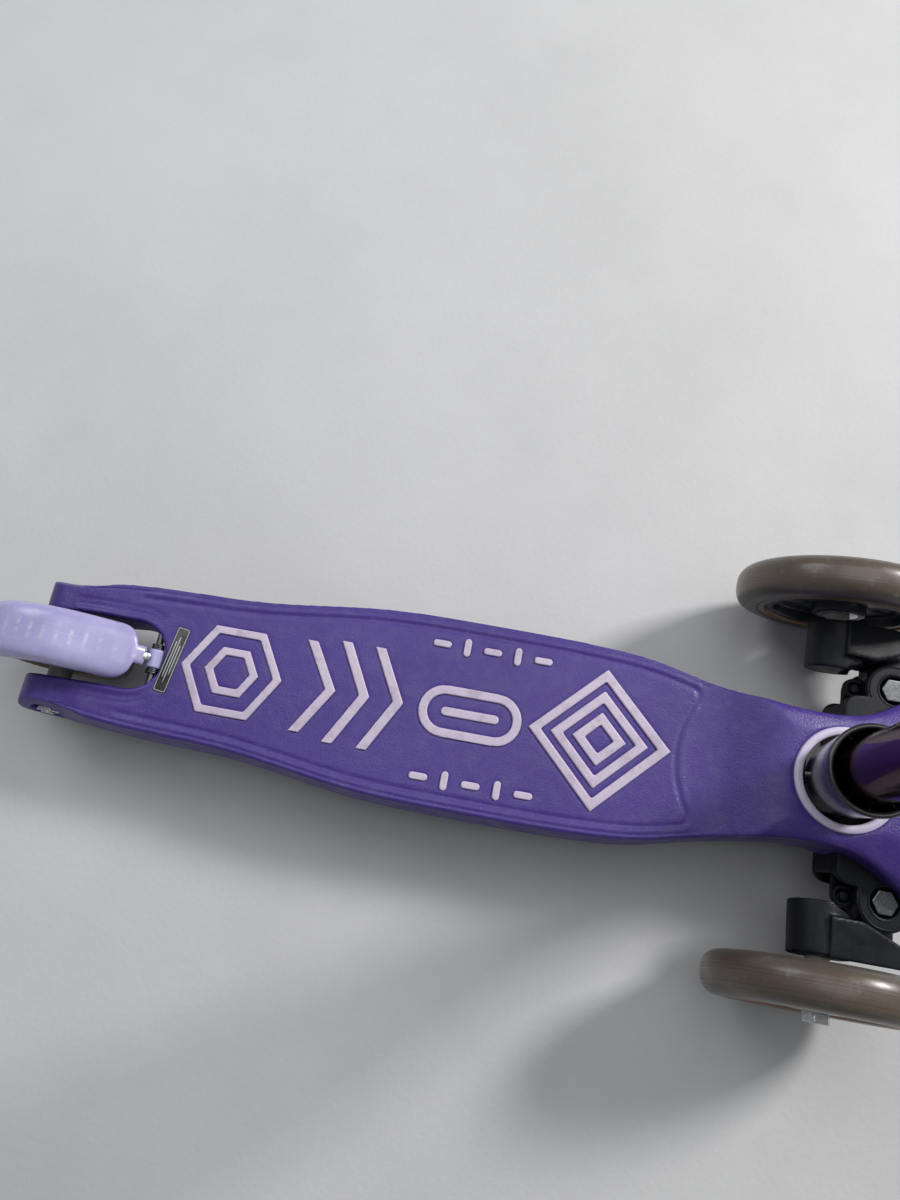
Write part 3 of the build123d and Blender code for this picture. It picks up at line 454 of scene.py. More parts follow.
BLACK: Colour = (0.014, 0.015, 0.018)
FINISHES = {
    "deck_plastic": Moulded(
        "purple_plastic", "deck_plastic", (0.056, 0.030, 0.225), (0.047, 0.024, 0.195), (0.13, 0.10, 0.32),
        0.4, grain=850.0, grain_depth=0.00008, dust=0.22, dust_colour=(0.17, 0.15, 0.27), scuffs=0.55),
    "inlay": Moulded(
        "raised_grip_plastic", "lavender_plastic", (0.60, 0.52, 0.64), (0.50, 0.43, 0.56), (0.74, 0.69, 0.76),
        0.42, dust=0.6, dust_colour=(0.27, 0.23, 0.29), scuffs=0.35, glow=0.2),
    "collar": Moulded(
        "collar_plastic", "lavender_plastic", (0.64, 0.60, 0.75), (0.54, 0.49, 0.67), (0.78, 0.76, 0.85),
        0.35, dust=0.3, glow=0.3),
    "label_black": Moulded(
        "label_ink", "label_black", BLACK, (0.020, 0.020, 0.024), (0.10, 0.10, 0.11), 0.35, grain=2400.0,
        grain_depth=0.00001, dust=0.25),
    "label_pale": Moulded(
        "label_border_ink", "label_black", (0.52, 0.54, 0.55), (0.40, 0.42, 0.44), (0.6, 0.6, 0.6), 0.4,
        grain_depth=0.00001),
    "black_plastic": Moulded(
        "satin_black_plastic", "black_plastic", (0.005, 0.006, 0.009), (0.008, 0.009, 0.013),
        (0.04, 0.045, 0.055), 0.4, grain=1500.0, grain_depth=0.00004, dust=0.1,
        dust_colour=(0.05, 0.05, 0.055), scuffs=0.3, shine=0.2),
    "gloss_black": Moulded(
        "gloss_black_plastic", "gloss_black", (0.010, 0.011, 0.013), (0.014, 0.015, 0.018),
        (0.05, 0.05, 0.055), 0.2, grain=1800.0, grain_depth=0.000012, dust=0.12,
        dust_colour=(0.08, 0.08, 0.08), scuffs=0.3, coat=0.4),
    "wheel_core": Moulded(
        "core_plastic", "wheel_core", (0.010, 0.013, 0.021), (0.016, 0.020, 0.031), (0.06, 0.07, 0.09), 0.33,
        grain=1500.0, grain_depth=0.00004, dust=0.3, dust_colour=(0.12, 0.115, 0.11), scuffs=0.3, shine=0.4),
    "spacer_grey": Moulded(
        "spacer_plastic", "spacer_grey", (0.40, 0.40, 0.39), (0.31, 0.31, 0.30), (0.55, 0.55, 0.54), 0.4,
        dust=0.3),
    "elastomer": Moulded(
        "elastomer_pads", "elastomer", (0.030, 0.030, 0.030), (0.045, 0.045, 0.044), (0.09, 0.09, 0.09), 0.6,
        grain=2000.0),
    "lever_alloy": Moulded(
        "clamp_lever_plastic", "lever_alloy", (0.30, 0.31, 0.33), (0.24, 0.25, 0.27), (0.55, 0.55, 0.56),
        0.35, dust=0.2),
    "grip_rubber": Moulded(
        "grip_rubber", "grip_rubber", (0.020, 0.019, 0.022), (0.030, 0.029, 0.033), (0.07, 0.07, 0.075), 0.62,
        grain=1700.0, grain_depth=0.00008, dust=0.4, dust_colour=(0.12, 0.12, 0.12), scuffs=0.2),
    "button_lavender": Moulded(
        "button_plastic", "button_lavender", (0.46, 0.40, 0.66), (0.38, 0.32, 0.58), (0.65, 0.6, 0.8), 0.35,
        dust=0.2, glow=0.2),
    "bright_steel": Metal("zinc_plated_steel", "bright_steel", (0.62, 0.63, 0.64), (0.44, 0.45, 0.47), 0.24),
    "dark_steel": Metal("blackened_steel", "bright_steel", (0.16, 0.165, 0.175), (0.09, 0.095, 0.10), 0.34),
    "anodised": Metal(
        "burgundy_anodised_tube", "anodised", (0.150, 0.008, 0.058), (0.110, 0.005, 0.042), 0.13,
        lines=(700.0, 700.0, 12.0), depth=0.000004, coat=0.5),
    "silver_tube": Metal(
        "brushed_tube", "silver_tube", (0.66, 0.67, 0.69), (0.52, 0.53, 0.55), 0.26,
        lines=(900.0, 900.0, 14.0)),
    "smoky_tyre": Cast("smoky_polyurethane", "smoky_tyre"),
    "fender": Frosted("frosted_lavender_plastic", "lavender_plastic"),
}


@cache
def material_of(key: str) -> bpy.types.Material:
    """The material of a finish, made once."""
    return FINISHES[key].material()


# ---- shapes ----
def add_object(name: str, data: bpy.types.ID) -> bpy.types.Object:
    """Puts an object with the given data in the scene."""
    piece = bpy.data.objects.new(name, data)
    bpy.context.scene.collection.objects.link(piece)
    return piece


def mesh_object(name: str, points: np.ndarray, faces: Sequence[Sequence[int]]) -> bpy.types.Object:
    """Makes an object from points in millimetres.

    Args:
        name: the piece's name.
        points: its points, one row each.
        faces: the point numbers round each face.

    Returns:
        The new object, in the scene.
    """
    mesh = bpy.data.meshes.new(name)
    mesh.from_pydata((np.asarray(points, float) * MM).tolist(), [], [list(face) for face in faces])
    mesh.validate()
    shape = bmesh.new()
    shape.from_mesh(mesh)
    bmesh.ops.remove_doubles(shape, verts=shape.verts, dist=1e-7)
    bmesh.ops.recalc_face_normals(shape, faces=shape.faces)
    shape.to_mesh(mesh)
    shape.free()
    mesh.shade_smooth()
    return add_object(name, mesh)


def eased(outline: Outline, radius: float, steps: int = 5) -> list[tuple[float, float]]:
    """Rounds the corners of a closed outline.

    Args:
        outline: its corners.
        radius: the arcs' radius, less where a side is short.
        steps: points on each arc.

    Returns:
        The rounded outline.
    """
    corners = [Vector(point) for point in outline]
    result: list[tuple[float, float]] = []
    for index, corner in enumerate(corners):
        before, after = corners[index - 1] - corner, corners[(index + 1) % len(corners)] - corner
        reach = min(radius, before.length * 0.45, after.length * 0.45)
        start, end = corner + before.normalized() * reach, corner + after.normalized() * reach
        for step in range(steps + 1):
            t = step / steps
            spot = start * (1 - t) ** 2 + corner * 2 * t * (1 - t) + end * t ** 2
            result.append((spot.x, spot.y))
    return result


def axis_frame(origin: Sequence[float], axis: Sequence[float]) -> Matrix:
    """Frame in millimetres whose z axis runs along `axis` from `origin`."""
    z = Vector(axis).normalized()
    x = (Vector((1, 0, 0)) - z * z.x).normalized() if abs(z.x) < 0.9 else Vector((0, 1, 0))
    y = z.cross(x)
    return Matrix.Translation(Vector(origin)) @ Matrix((x, y, z)).transposed().to_4x4()


def turned(name: str, outline: Outline, place: Matrix, steps: int = 128,
           ripple: Callable[[float, float, float], float] | None = None) -> bpy.types.Object:
    """Turns a closed outline round an axis, as on a lathe.

    Args:
        name: the piece's name.
        outline: (radius, height) points in millimetres.
        place: frame whose z axis is the axis of the turning.
        steps: divisions round the axis.
        ripple: change of the radius at an angle, radius and height.

    Returns:
        The turned piece, with its reach and across values at each point.
    """
    rows = len(outline)
    points, reach, across = [], [], []
    radii = [point[0] for point in outline]
    heights = [point[1] for point in outline]
    for step in range(steps):
        angle = FULL_TURN * step / steps
        for radius, height in outline:
            r = max(radius + (ripple(angle, radius, height) if ripple else 0.0), 0.0)
            points.append(place @ Vector((r * math.cos(angle), r * math.sin(angle), height)))
    faces = [(step * rows + row, ((step + 1) % steps) * rows + row,
              ((step + 1) % steps) * rows + (row + 1) % rows, step * rows + (row + 1) % rows)
             for step in range(steps) for row in range(rows)]
    piece = mesh_object(name, np.array([point[:] for point in points]), faces)
    back = place.inverted()
    span = max(radii) - min(radii)
    for vertex in piece.data.vertices:
        spot = back @ (vertex.co * 1000)
        reach.append((math.hypot(spot.x, spot.y) - min(radii)) / span)
        across.append((spot.z - min(heights)) / (max(heights) - min(heights)))
    for label, values in (("reach", reach), ("across", across)):
        piece.data.attributes.new(label, "FLOAT", "POINT").data.foreach_set("value", values)
    return piece


def bead(name: str, path: Sequence[Sequence[float]], width: float, height: float,
         closed: bool = False) -> bpy.types.Object:
    """A raised half-round line on a level surface.

    Args:
        name: the piece's name.
        path: points along it, in millimetres.
        width: its width.
        height: how far it stands up; its foot goes as far down.
        closed: whether its ends join.

    Returns:
        The bead.
    """
    line = [Vector(point) for point in path]
    turns = np.linspace(0, FULL_TURN, 12, endpoint=False)
    section = [(math.cos(a) * width / 2, math.sin(a) * height) for a in turns]
    points, count, sides = [], len(line), len(section)
    for index, point in enumerate(line):
        ahead = line[(index + 1) % count] if closed or index + 1 < count else point
        behind = line[index - 1] if closed or index else point
        along = (ahead - behind).normalized()
        sideways = along.cross(Vector((0, 0, 1))).normalized()
        points += [point + sideways * s + Vector((0, 0, h)) for s, h in section]
    faces: list[list[int]] = []
    for index in range(count if closed else count - 1):
        a, b = index * sides, ((index + 1) % count) * sides
        faces += [[a + k, a + (k + 1) % sides, b + (k + 1) % sides, b + k] for k in range(sides)]
    if not closed:
        faces += [list(range(sides)), [(count - 1) * sides + k for k in range(sides)]]
    return mesh_object(name, np.array([point[:] for point in points]), faces)


def round_rectangle(half_x: float, half_y: float, corner: float, steps: int) -> list[tuple[float, float]]:
    """Points round a rectangle with round corners.

    Args:
        half_x: half its size along x.
        half_y: half its size along y.
        corner: the corners' radius.
        steps: divisions of each corner.

    Returns:
        The points in order.
    """
    signs = ((1, 1), (-1, 1), (-1, -1), (1, -1))
    angles = [math.pi / 2 * (quarter + step / steps) for quarter in range(4) for step in range(steps + 1)]
    return [(signs[index // (steps + 1)][0] * (half_x - corner) + corner * math.cos(a),
             signs[index // (steps + 1)][1] * (half_y - corner) + corner * math.sin(a))
            for index, a in enumerate(angles)]


def slab(name: str, half_length: float, half_width: float, corner: float, levels: Outline,
         place: Matrix) -> bpy.types.Object:
    """A flat plate with round corners and eased edges.

    Args:
        name: the piece's name.
        half_length: half its size along x, in millimetres.
        half_width: half its size along y.
        corner: the corners' radius.
        levels: (inset, height) of each loop round it, from the bottom.
        place: the frame it lies in.

    Returns:
        The plate.
    """
    points, arc = [], 8
    for inset, height in levels:
        ring = round_rectangle(half_length - inset, half_width - inset, max(corner - inset, 0.05), arc)
        points += [place @ Vector((x, y, height)) for x, y in ring]
    loop = 4 * (arc + 1)
    faces: list[list[int]] = [list(range(loop)), [(len(levels) - 1) * loop + k for k in range(loop)]]
    for level in range(len(levels) - 1):
        a, b = level * loop, (level + 1) * loop
        faces += [[a + k, a + (k + 1) % loop, b + (k + 1) % loop, b + k] for k in range(loop)]
    return mesh_object(name, np.array([point[:] for point in points]), faces)


def rounded(node: str, voxel: float, passes: int) -> bpy.types.Object:
    """A copy of a CAD node with the eased edges of a moulding.

    Args:
        node: the CAD node.
        voxel: size of the new mesh's faces, in millimetres.
        passes: rounds of smoothing.

    Returns:
        The new piece, in the node's place.
    """
    source = frame["nodes"][node]
    shape = bmesh.new()
    shape.from_mesh(source.data)
    bmesh.ops.remove_doubles(shape, verts=shape.verts, dist=1e-6)
    mesh = bpy.data.meshes.new(node + "_rough")
    shape.to_mesh(mesh)
    shape.free()
    holder = add_object(node + "_rough", mesh)
    remesh = holder.modifiers.new("moulding", "REMESH")
    remesh.mode = "VOXEL"
    remesh.voxel_size = voxel * MM
    remesh.adaptivity = 0.0
    smooth = holder.modifiers.new("easing", "SMOOTH")
    smooth.factor = 0.5
    smooth.iterations = passes
    graph = bpy.context.evaluated_depsgraph_get()
    final = bpy.data.meshes.new_from_object(holder.evaluated_get(graph))
    bpy.data.objects.remove(holder)
    final.name = node + "_piece"
    final.materials.clear()
    final.shade_smooth()
    return add_object(node + "_piece", final)


def read_points(piece: bpy.types.Object, what: str) -> np.ndarray:
    """The "co" (in metres) or "normal" of each of a piece's points."""
    flat = np.zeros(len(piece.data.vertices) * 3)
    piece.data.vertices.foreach_get(what, flat)
    return flat.reshape(-1, 3)


def move_points(piece: bpy.types.Object, points: np.ndarray) -> None:
    """Puts a piece's points at new places, in millimetres."""
    piece.data.vertices.foreach_set("co", (points * MM).ravel())
    piece.data.update()


def ridge(distance: np.ndarray, width: float) -> np.ndarray:
    """A soft ridge of height 1 along the line where the distance is 0."""
    return np.exp(-(distance / width) ** 2)


class Assembly:
    """A sub-assembly that dresses its pieces and hangs each on its body."""

    def dress(self, piece: bpy.types.Object, finish: str, body: str, *replaced: str) -> bpy.types.Object:
        """Gives a piece its finish and its body.

        Args:
            piece: the piece.
            finish: key of its finish.
            body: the body it moves with.
            *replaced: CAD nodes that it stands for.

        Returns:
            The same piece.
        """
        piece.data.materials.clear()
        piece.data.materials.append(material_of(finish))
        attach(piece, body)
        if replaced:
            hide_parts(*replaced)
        LOG.info("%s: %d faces, %s, on %s", piece.name, len(piece.data.polygons), finish, body)
        return piece

    def mould(self, node: str, voxel: float, passes: int, finish: str) -> bpy.types.Object:
        """Replaces a CAD node with its rounded copy and dresses it."""
        return self.dress(rounded(node, voxel, passes), finish, BODY_OF[node], node)

    def coat(self, finish: str, *nodes: str) -> None:
        """Gives CAD nodes that keep their shape a finish."""
        for node in nodes:
            piece = frame["nodes"][node]
            for slot in piece.material_slots:
                slot.link = "OBJECT"
                slot.material = material_of(finish)
            LOG.info("%s: kept, %s", node, finish)


@dataclass
class Deck(Assembly):
    """The moulded deck with its raised shapes, label and collar. Sizes in millimetres."""

    top: float = 62.0
    groove_inset: float = 10.5
    groove_front: float = 132.0
    groove_front_corner: float = 143.0
    groove_rear: float = -192.0
    slot_centre: float = -189.0
    slot_half: float = 20.0
    draft: float = 2.6
    fork_draft: float = 4.5
    label_height: float = 0.2
    label_turn: float = -0.14

    def build(self) -> None:
        """Builds every piece of the deck."""
        self.shell()
        self.mould("grip_inlay", 0.6, 5, "inlay")
        self.label()
        self.collar()

    def shell(self) -> None:
        """The deck's shell with its groove, rim lines and rolled slot edge."""
        piece = rounded("deck_shell", 1.15, 6)
        points, normals = read_points(piece, "co") * 1000, read_points(piece, "normal")
        x, y, z = points.T
        upper = (z > 50) & (x > -254) & (x < 270)
        bins = np.arange(-256.0, 272.0, 4.0)
        half = np.array([np.abs(y[upper & (np.abs(x - b) < 4)]).max(initial=40.0) for b in bins])
        half = np.convolve(np.pad(half, 2, mode="edge"), np.ones(5) / 5, mode="valid")
        from_edge = np.interp(x, bins, half) - np.abs(y)
        up = np.clip((normals[:, 2] - 0.5) / 0.4, 0, 1) * (z > self.top - 3)
        inside = from_edge - self.groove_inset
        width = np.abs(y) / 35.0
        front = self.groove_front + (self.groove_front_corner - self.groove_front) * width ** 2 - x
        corner = 7.0
        round_line = corner - np.hypot(np.clip(corner - inside, 0, None), np.clip(corner - front, 0, None))
        line = np.where((inside < corner) & (front < corner), round_line, np.minimum(inside, front))
        fade = np.clip((x - self.groove_rear) / 6.0, 0, 1)
        change = -0.75 * ridge(line, 1.1) * fade
        change += 0.35 * ridge(line + 3.0, 1.8) * fade * (x < 143)
        flat = (x < 150) & (x > -225)
        change += (-0.22 * ridge(from_edge - 5.2, 0.9) + 0.25 * ridge(from_edge - 3.2, 1.1)) * flat
        round_end = np.hypot(x - self.slot_centre, y)
        slot = np.where(x > self.slot_centre, round_end, np.abs(y)) - self.slot_half
        near = (slot > -1) & (x > -232) & (x < -150)
        behind = 1 - np.clip((x + 182.0) / 9.0, 0, 1) * np.clip((26.0 - np.abs(y)) / 5.0, 0, 1)
        change += 0.9 * ridge(slot - 1.9, 1.5) * near * (0.15 + 0.85 * behind)
        change -= (0.5 * ridge(slot - 5.5, 1.2) + 0.45 * ridge(slot - 8.6, 0.9)) * near * behind
        points[:, 2] += change * up
        rise = np.clip((z - 34.0) / 26.0, 0, 1)
        edge = np.clip(1 - from_edge / 7.0, 0, 1) * (x < 262)
        fork = np.clip((-205.0 - x) / 30.0, 0, 1)
        points[:, 1] -= np.sign(y) * edge * rise ** 2 * (self.draft + self.fork_draft * fork)
        points[:, 2] -= up * 1.1 * np.clip(1 - from_edge / 3.0, 0, 1) ** 2
        move_points(piece, points)
        self.dress(piece, "deck_plastic", "deck", "deck_shell")

    def label(self) -> None:
        """The blank label in front of the fender, with its border and plain bars."""
        low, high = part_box("deck_label")
        centre = (low + high) * 500
        place = Matrix.Translation((centre.x, centre.y, self.top)) @ Matrix.Rotation(self.label_turn, 4, "Z")
        levels = [(0, -0.3), (0, 0.1), (0.12, self.label_height)]
        self.dress(slab("label_face", 4.0, 20.0, 1.2, levels, place), "label_black", "deck", "deck_label")
        path = [place @ Vector((x, y, self.label_height)) for x, y in round_rectangle(3.3, 19.3, 1.0, 6)]
        self.dress(bead("label_border", path, 0.35, 0.05, closed=True), "label_pale", "deck")
        for row, (offset, reach) in enumerate(((-1.5, 11.0), (0.0, 14.0), (1.5, 9.0))):
            line = [place @ Vector((offset, y, self.label_height)) for y in np.linspace(-reach, reach, 9)]
            self.dress(bead(f"label_bar_{row}", line, 0.5, 0.05), "label_pale", "deck")

    def collar(self) -> None:
        """The pale ring round the foot of the column."""
        low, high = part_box("collar_ring")
        centre, top = (low + high) * 500, high.z * 1000
        foot = low.z * 1000
        outline = eased([(24.0, foot), (29.0, foot), (28.8, top - 0.6), (26.8, top), (24.4, top - 0.4)], 1.1)
        place = Matrix.Translation((centre.x, centre.y, 0))
        self.dress(turned("collar_band", outline, place), "collar", "deck", "collar_ring")


@dataclass
class Truck(Assembly):
    """The front truck under the deck's nose. Sizes in millimetres."""

    top: float = 57.0
    kingpin_x: float = 256.0
    kingpin_y: float = 60.0

    def build(self) -> None:
        """Builds the truck, its ridges, its bolts and the steering rod."""
        self.mould("truck_beam", 0.9, 4, "black_plastic")
        self.mould("truck_cover", 0.9, 4, "black_plastic")
        self.mould("tie_rod", 0.6, 3, "black_plastic")
        self.mould("centring_pads", 0.7, 4, "elastomer")
        for node in ("kingpin_bolts", "kingpin_nuts", "truck_screws"):
            self.mould(node, 0.35, 2, "dark_steel")
        self.coat("bright_steel", "lean_pin")
        self.ridges()

    def ridges(self) -> None:
        """Thin raised lines on the truck's upper face, round each kingpin bolt."""
        for side in Side:
            sweep = np.linspace(math.radians(-115), math.radians(115), 40)
            centre = Vector((self.kingpin_x, side.sign * self.kingpin_y, self.top - 0.05))
            arc = [centre + Vector((math.sin(a), side.sign * math.cos(a), 0)) * 14.2 for a in sweep]
            self.dress(bead(f"kingpin_arc_{side.value}", arc, 1.3, 0.55), "black_plastic", "deck")
            sweep = np.linspace(0, FULL_TURN, 40, endpoint=False)
            ring = [centre + Vector((math.cos(a), math.sin(a), 0)) * 9.6 for a in sweep]
            line = bead(f"kingpin_ring_{side.value}", ring, 1.0, 0.45, closed=True)
            self.dress(line, "black_plastic", "deck")


@dataclass
class FrontCorner(Assembly):
    """A front wheel on its cambered knuckle. Sizes in millimetres."""

    side: Side
    radius: float = 60.0
    core_radius: float = 41.0
    half_width: float = 11.85
    squareness: float = 0.78

    def build(self) -> None:
        """Builds the knuckle, the wheel and their fasteners."""
        name = self.side.value
        self.mould(f"knuckle_{name}", 0.8, 4, "black_plastic")
        self.mould(f"front_axle_{name}", 0.35, 2, "bright_steel")
        self.mould(f"axle_spacer_{name}", 0.4, 3, "spacer_grey")
        wheel = f"front_wheel_{name}"
        self.wheel(f"front_tyre_{name}", f"front_core_{name}", wheel, wheel + "_spin")
        self.coat("bright_steel", f"front_bearings_{name}", f"bearing_sleeve_{name}")

    def wheel(self, tyre: str, core: str, body: str, joint: str) -> None:
        """Builds a tyre and its core round a wheel's own axis.

        Args:
            tyre: the tyre's CAD node.
            core: the core's CAD node.
            body: the wheel's body.
            joint: the joint it spins on.
        """
        spin = JOINTS[joint]
        place = axis_frame([1000 * value for value in spin["pos_m"]], spin["axis"])
        shoulder = self.radius - self.half_width - 0.2
        c, h = self.core_radius, self.half_width
        tread = [(shoulder + h * abs(math.cos(a)) ** self.squareness,
                  h * math.copysign(abs(math.sin(a)) ** self.squareness, a))
                 for a in np.linspace(-math.pi / 2, math.pi / 2, 49)]
        half = [(shoulder - 1.2, h), (shoulder - 1.6, h - 0.45), (c + 3.4, h - 0.55), (c + 2.6, h - 0.15),
                (c + 0.9, h - 0.5), (c, h - 1.7)]
        outline = tread + half + [(r, -z) for r, z in reversed(half)]
        self.dress(turned(tyre + "_piece", outline, place, 160), "smoky_tyre", body, tyre)
        self.mould(core, 0.6, 4, "wheel_core")


@dataclass
class RearEnd(FrontCorner):
    """The rear wheel in its fork, with the fender that brakes it."""

    side: Side = Side.LEFT
    radius: float = 40.0
    core_radius: float = 25.0
    fender_half: float = 16.5
    neck_half: float = 5.6
    neck_length: float = 5.5
    skirt: float = 10.0

    def build(self) -> None:
        """Builds the rear wheel, its axle and the brake."""
        self.wheel("rear_tyre", "rear_core", "rear_wheel", "rear_wheel_spin")
        self.coat("bright_steel", "rear_bearings", "rear_bearing_sleeve")
        self.coat("dark_steel", "brake_spring", "brake_pin")
        self.mould("rear_axle", 0.35, 2, "bright_steel")
        self.mould("rear_nut", 0.35, 2, "bright_steel")
        self.mould("rear_spacers", 0.45, 3, "spacer_grey")
        self.fender()

    def fender(self) -> None:
        """The domed fender on its neck, with the rivet and the hinge eye."""
        hinge = Vector(JOINTS["brake_press"]["pos_m"]) * 1000
        axle = Vector(JOINTS["rear_wheel_spin"]["pos_m"]) * 1000
        stations = self.stations(axle, hinge)
        rows = len(self.section(1.0, 1.0, 0.0)) * 2
        points = []
        for spot, out, half, skirt, thick in stations:
            outer = self.section(half, skirt, 0.0)
            inner = self.section(half - thick, skirt, thick)
            for across, depth in outer + inner[::-1]:
                points.append(spot + out * depth + Vector((0, across, 0)))
        faces = [[a + k, a + (k + 1) % rows, a + rows + (k + 1) % rows, a + rows + k]
                 for a in range(0, (len(stations) - 1) * rows, rows) for k in range(rows)]
        faces += [list(range(rows)), [(len(stations) - 1) * rows + k for k in range(rows)]]
        piece = mesh_object("fender_dome", np.array([point[:] for point in points]), faces)
        values = [1.0 - abs(vertex.co.y) * 1000 / self.fender_half for vertex in piece.data.vertices]
        piece.data.attributes.new("crown", "FLOAT", "POINT").data.foreach_set("value", values)
        self.dress(piece, "fender", "brake", "fender_brake")
        eye = eased([(2.06, -5.5), (4.4, -5.5), (5.0, -4.9), (5.0, 4.9), (4.4, 5.5), (2.06, 5.5)], 0.5)
        self.dress(turned("fender_eye", eye, axis_frame(hinge, (0, 1, 0)), 64), "fender", "brake")
        outline = eased([(0.0, -2.0), (2.5, -2.0), (2.9, 0.1), (2.3, 1.1), (0.0, 1.5)], 0.4)
        place = axis_frame((hinge.x - 3.2, 0.0, hinge.z + 6.6), (0.35, 0.0, 0.94))
        self.dress(turned("fender_rivet", outline, place, 48), "bright_steel", "brake")

    def stations(self, axle: Vector, hinge: Vector) -> list[tuple[Vector, Vector, float, float, float]]:
        """Places along the fender, from its tail to the hinge eye.

        Args:
            axle: centre of the rear wheel.
            hinge: centre of the brake hinge.

        Returns:
            For each place its top point, the direction outwards, half width, skirt depth and thickness.
        """
        line = [(-43.6, 17.4), (-35, 34), (-22, 43.8), (-4, 48), (14, 46.3), (31, 40), (43, 33.6), (52, 29.6),
                (57.5, 25.6)]
        knots = np.array([(axle.x + x, axle.z + z) for x, z in line])
        reach = np.concatenate(([0], np.cumsum(np.hypot(*np.diff(knots, axis=0).T))))
        steps = np.linspace(0, reach[-1], 110)
        curve = np.column_stack([self.smooth(reach, knots[:, k], steps) for k in range(2)])
        result = []
        for index, (x, z) in enumerate(curve):
            ahead, behind = curve[min(index + 1, len(curve) - 1)], curve[max(index - 1, 0)]
            along = Vector((ahead[0] - behind[0], 0, ahead[1] - behind[1])).normalized()
            out = Vector((-along.z, 0, along.x))
            left = reach[-1] - steps[index]
            nose = min(max((left - self.neck_length) / 13.0, 0.0), 1.0)
            half = self.neck_half + (self.fender_half - self.neck_half) * math.sqrt(1 - (1 - nose) ** 2)
            skirt = 3.2 + (self.skirt - 3.2) * nose
            tail = min(steps[index] / 3.0, 1.0)
            thick = 2.2 if nose > 0 else 1.55
            result.append((Vector((x, 0, z)), out, half - 1.2 * (1 - tail) ** 2, skirt, thick))
        return result

    @staticmethod
    def smooth(reach: np.ndarray, values: np.ndarray, at: np.ndarray) -> np.ndarray:
        """Values between knots, on a curve with level tangents shared by both sides.

        Args:
            reach: distance of each knot.
            values: the value at each knot.
            at: distances to work out.

        Returns:
            The value at each distance.
        """
        slope = np.gradient(values, reach)
        index = np.clip(np.searchsorted(reach, at) - 1, 0, len(reach) - 2)
        gap = reach[index + 1] - reach[index]
        t = (at - reach[index]) / gap
        return ((2 * t ** 3 - 3 * t ** 2 + 1) * values[index] + (t ** 3 - 2 * t ** 2 + t) * gap * slope[index]
                + (3 * t ** 2 - 2 * t ** 3) * values[index + 1] + (t ** 3 - t ** 2) * gap * slope[index + 1])

    def section(self, half: float, skirt: float, inset: float) -> list[tuple[float, float]]:
        """The fender's arched cross-section.

        Args:
            half: half its width.
            skirt: depth of its sides below the crown.
            inset: how far the crown is below the outer one.

        Returns:
            (across, height) points from side to side.
        """
        power = 0.52
        return [(half * math.copysign(abs(math.cos(a)) ** power, math.cos(a)),
                 (skirt - inset) * (math.sin(a) ** (power + 0.2)) - skirt)
                for a in np.linspace(0, math.pi, 41)]


@dataclass
class Column(Assembly):
    """The leaning column: cup, tubes, clamp and release button. Sizes in millimetres."""

    cup_top: float = 56.0
    cup_radius: float = 23.0
    cup_floor: float = 24.0
    ribs: int = 10

    @property
    def place(self) -> Matrix:
        """Frame on the column's axis, with z up along it."""
        return axis_frame([1000 * value for value in JOINTS["lean"]["pos_m"]], JOINTS["bar_height"]["axis"])

    def build(self) -> None:
        """Builds every piece of the column."""
        self.mould("bar_holder", 0.75, 4, "gloss_black")
        self.mould("height_clamp", 0.65, 4, "gloss_black")
        self.mould("button_housing", 0.8, 3, "black_plastic")
        self.mould("top_guide", 0.6, 3, "black_plastic")
        self.mould("clamp_lever", 0.55, 4, "lever_alloy")
        self.mould("clamp_bolt", 0.35, 2, "bright_steel")
        self.mould("release_button", 0.45, 4, "button_lavender")
        self.coat("elastomer", "lean_bushes")
        self.coat("bright_steel", "button_spring")
        self.coat("anodised", "outer_tube")
        self.cup()

    def cup(self) -> None:
        """The cup's rolled rim, and the ribs between cup and tube."""
        r, top = self.cup_radius, self.cup_top
        rim = eased([(r - 2.3, top - 1.6), (r + 0.35, top - 1.6), (r + 0.55, top - 0.4), (r - 0.3, top + 0.5),
                     (r - 1.7, top + 0.5), (r - 2.5, top - 0.5)], 0.6)
        self.dress(turned("cup_rim", rim, self.place, 160), "gloss_black", "column")
        for index in range(self.ribs):
            turn = Matrix.Rotation(FULL_TURN * (index + 0.5) / self.ribs, 4, "Z")
            spot = self.place @ turn @ Matrix.Translation((19.3, 0, self.cup_floor))
            rib = slab(f"cup_rib_{index}", 1.75, 0.7, 0.5, [(0, 0), (0, 24.0), (0.35, 25.0)], spot)
            self.dress(rib, "black_plastic", "column")


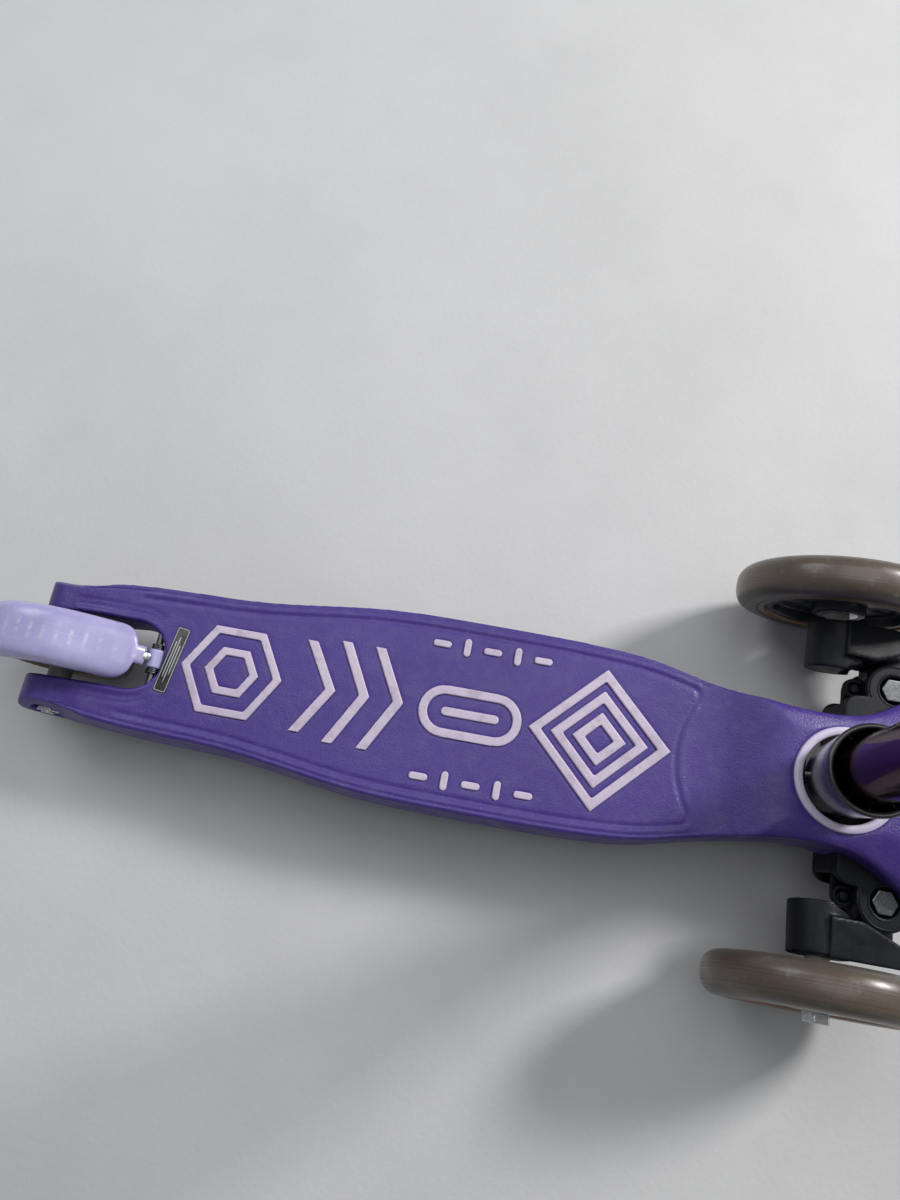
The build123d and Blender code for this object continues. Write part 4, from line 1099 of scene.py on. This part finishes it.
@dataclass
class Bar(Assembly):
    """The sliding tube with its handlebar and grips. Sizes in millimetres."""

    grip_radius: float = 14.5
    flange_radius: float = 18.5
    bar_radius: float = 11.0
    grip_start: float = 28.0
    grip_end: float = 124.0

    def build(self) -> None:
        """Builds every piece of the bar."""
        self.coat("silver_tube", "slider_tube", "handlebar")
        self.mould("bottom_guide", 0.7, 3, "black_plastic")
        self.mould("tee_joint", 0.7, 4, "black_plastic")
        for side in Side:
            self.grip(side)

    def grip(self, side: Side) -> None:
        """A rubber grip with rings between its flanges."""
        node = f"grip_{side.value}"
        low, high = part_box(node)
        centre = (low + high) * 500
        place = axis_frame((centre.x, 0.0, centre.z), (0, side.sign, 0))
        start, end = self.grip_start, self.grip_end
        r, f, b = self.grip_radius, self.flange_radius, self.bar_radius
        outer = [(b + 0.05, start), (f - 2, start), (f, start + 0.8), (f, start + 2.2),
                 (f - 1.5, start + 3.4), (r, start + 6)]
        for ring in np.arange(start + 10, end - 11, 4.0):
            outer += [(r, ring - 1.3), (r - 0.9, ring - 0.6), (r - 0.9, ring + 0.6), (r, ring + 1.3)]
        outer += [(r, end - 7), (f - 1.5, end - 4), (f, end - 2.5), (f - 0.4, end - 0.9), (f - 2, end),
                  (0.0, end), (0.0, end - 2.5), (b + 0.05, end - 2.5)]

        def knurl(angle: float, radius: float, height: float) -> float:
            """Shallow flutes along the middle of the grip."""
            middle = start + 8 < height < end - 9 and radius > r - 0.2
            return -0.3 * max(math.cos(angle * 26), 0.0) if middle else 0.0

        self.dress(turned(node + "_piece", outer, place, 156, knurl), "grip_rubber", "bar", node)


@dataclass
class Studio:
    """Floor, soft lights and camera."""

    lens: float = 26.25
    position: tuple[float, float, float] = (0.01199, -0.07612, 0.56424)
    angles: tuple[float, float, float] = (15.98956, -0.36748, 10.30160)

    def build(self) -> None:
        """Sets up the whole studio."""
        self.floor()
        self.light("key", (1.45, 1.0, 1.25), (0.05, 0.0, 0.0), 0.4, 36.0, (1.0, 0.985, 0.96))
        self.light("overhead", (0.1, 0.45, 1.7), (0.0, 0.0, 0.0), 1.2, 8.0, (0.97, 0.985, 1.0))
        self.light("side", (-1.0, 0.8, 1.1), (0.0, 0.0, 0.05), 0.7, 6.0, (0.96, 0.98, 1.0))
        world = bpy.data.worlds.new("studio")
        world.use_nodes = True
        sky = world.node_tree.nodes["Background"]
        sky.inputs["Color"].default_value = (0.92, 0.95, 1.0, 1.0)
        sky.inputs["Strength"].default_value = 0.24
        bpy.context.scene.world = world
        bpy.context.scene.view_settings.view_transform = "Standard"
        self.camera()

    def floor(self) -> None:
        """A wide plain floor at z = 0."""
        half, cells = 2500.0, 20
        row = cells + 1
        line = np.linspace(-half, half, row)
        points = np.array([(x, y, 0.0) for x in line for y in line])
        faces = [(i * row + j, (i + 1) * row + j, (i + 1) * row + j + 1, i * row + j + 1)
                 for i in range(cells) for j in range(cells)]
        piece = mesh_object("floor", points, faces)
        piece.data.materials.append(Concrete().material())

    def light(self, name: str, place: Sequence[float], target: Sequence[float], size: float, watts: float,
              colour: Colour) -> None:
        """A square soft light.

        Args:
            name: the light's name.
            place: where it stands, in metres.
            target: what it points at.
            size: its side, in metres.
            watts: its power.
            colour: its tint.
        """
        lamp = bpy.data.lights.new(name, "AREA")
        lamp.size, lamp.energy, lamp.color = size, watts, colour
        holder = add_object(name, lamp)
        holder.location = place
        holder.rotation_euler = (Vector(target) - Vector(place)).to_track_quat("-Z", "Y").to_euler()

    def camera(self) -> None:
        """A camera above the deck, looking down and a little forward."""
        data = bpy.data.cameras.new("camera")
        data.lens, data.sensor_width, data.clip_start = self.lens, 36.0, 0.01
        holder = add_object("camera", data)
        holder.location = self.position
        holder.rotation_euler = [math.radians(angle) for angle in self.angles]
        bpy.context.scene.camera = holder


def main() -> None:
    """Builds the scooter and its studio."""
    logging.basicConfig(level=logging.INFO, format="%(name)s: %(message)s")
    Studio().build()
    corners = FrontCorner(Side.LEFT), FrontCorner(Side.RIGHT)
    for assembly in (Deck(), Truck(), *corners, RearEnd(), Column(), Bar()):
        LOG.info("building %s", type(assembly).__name__)
        assembly.build()


if __name__ == "__main__":
    main()
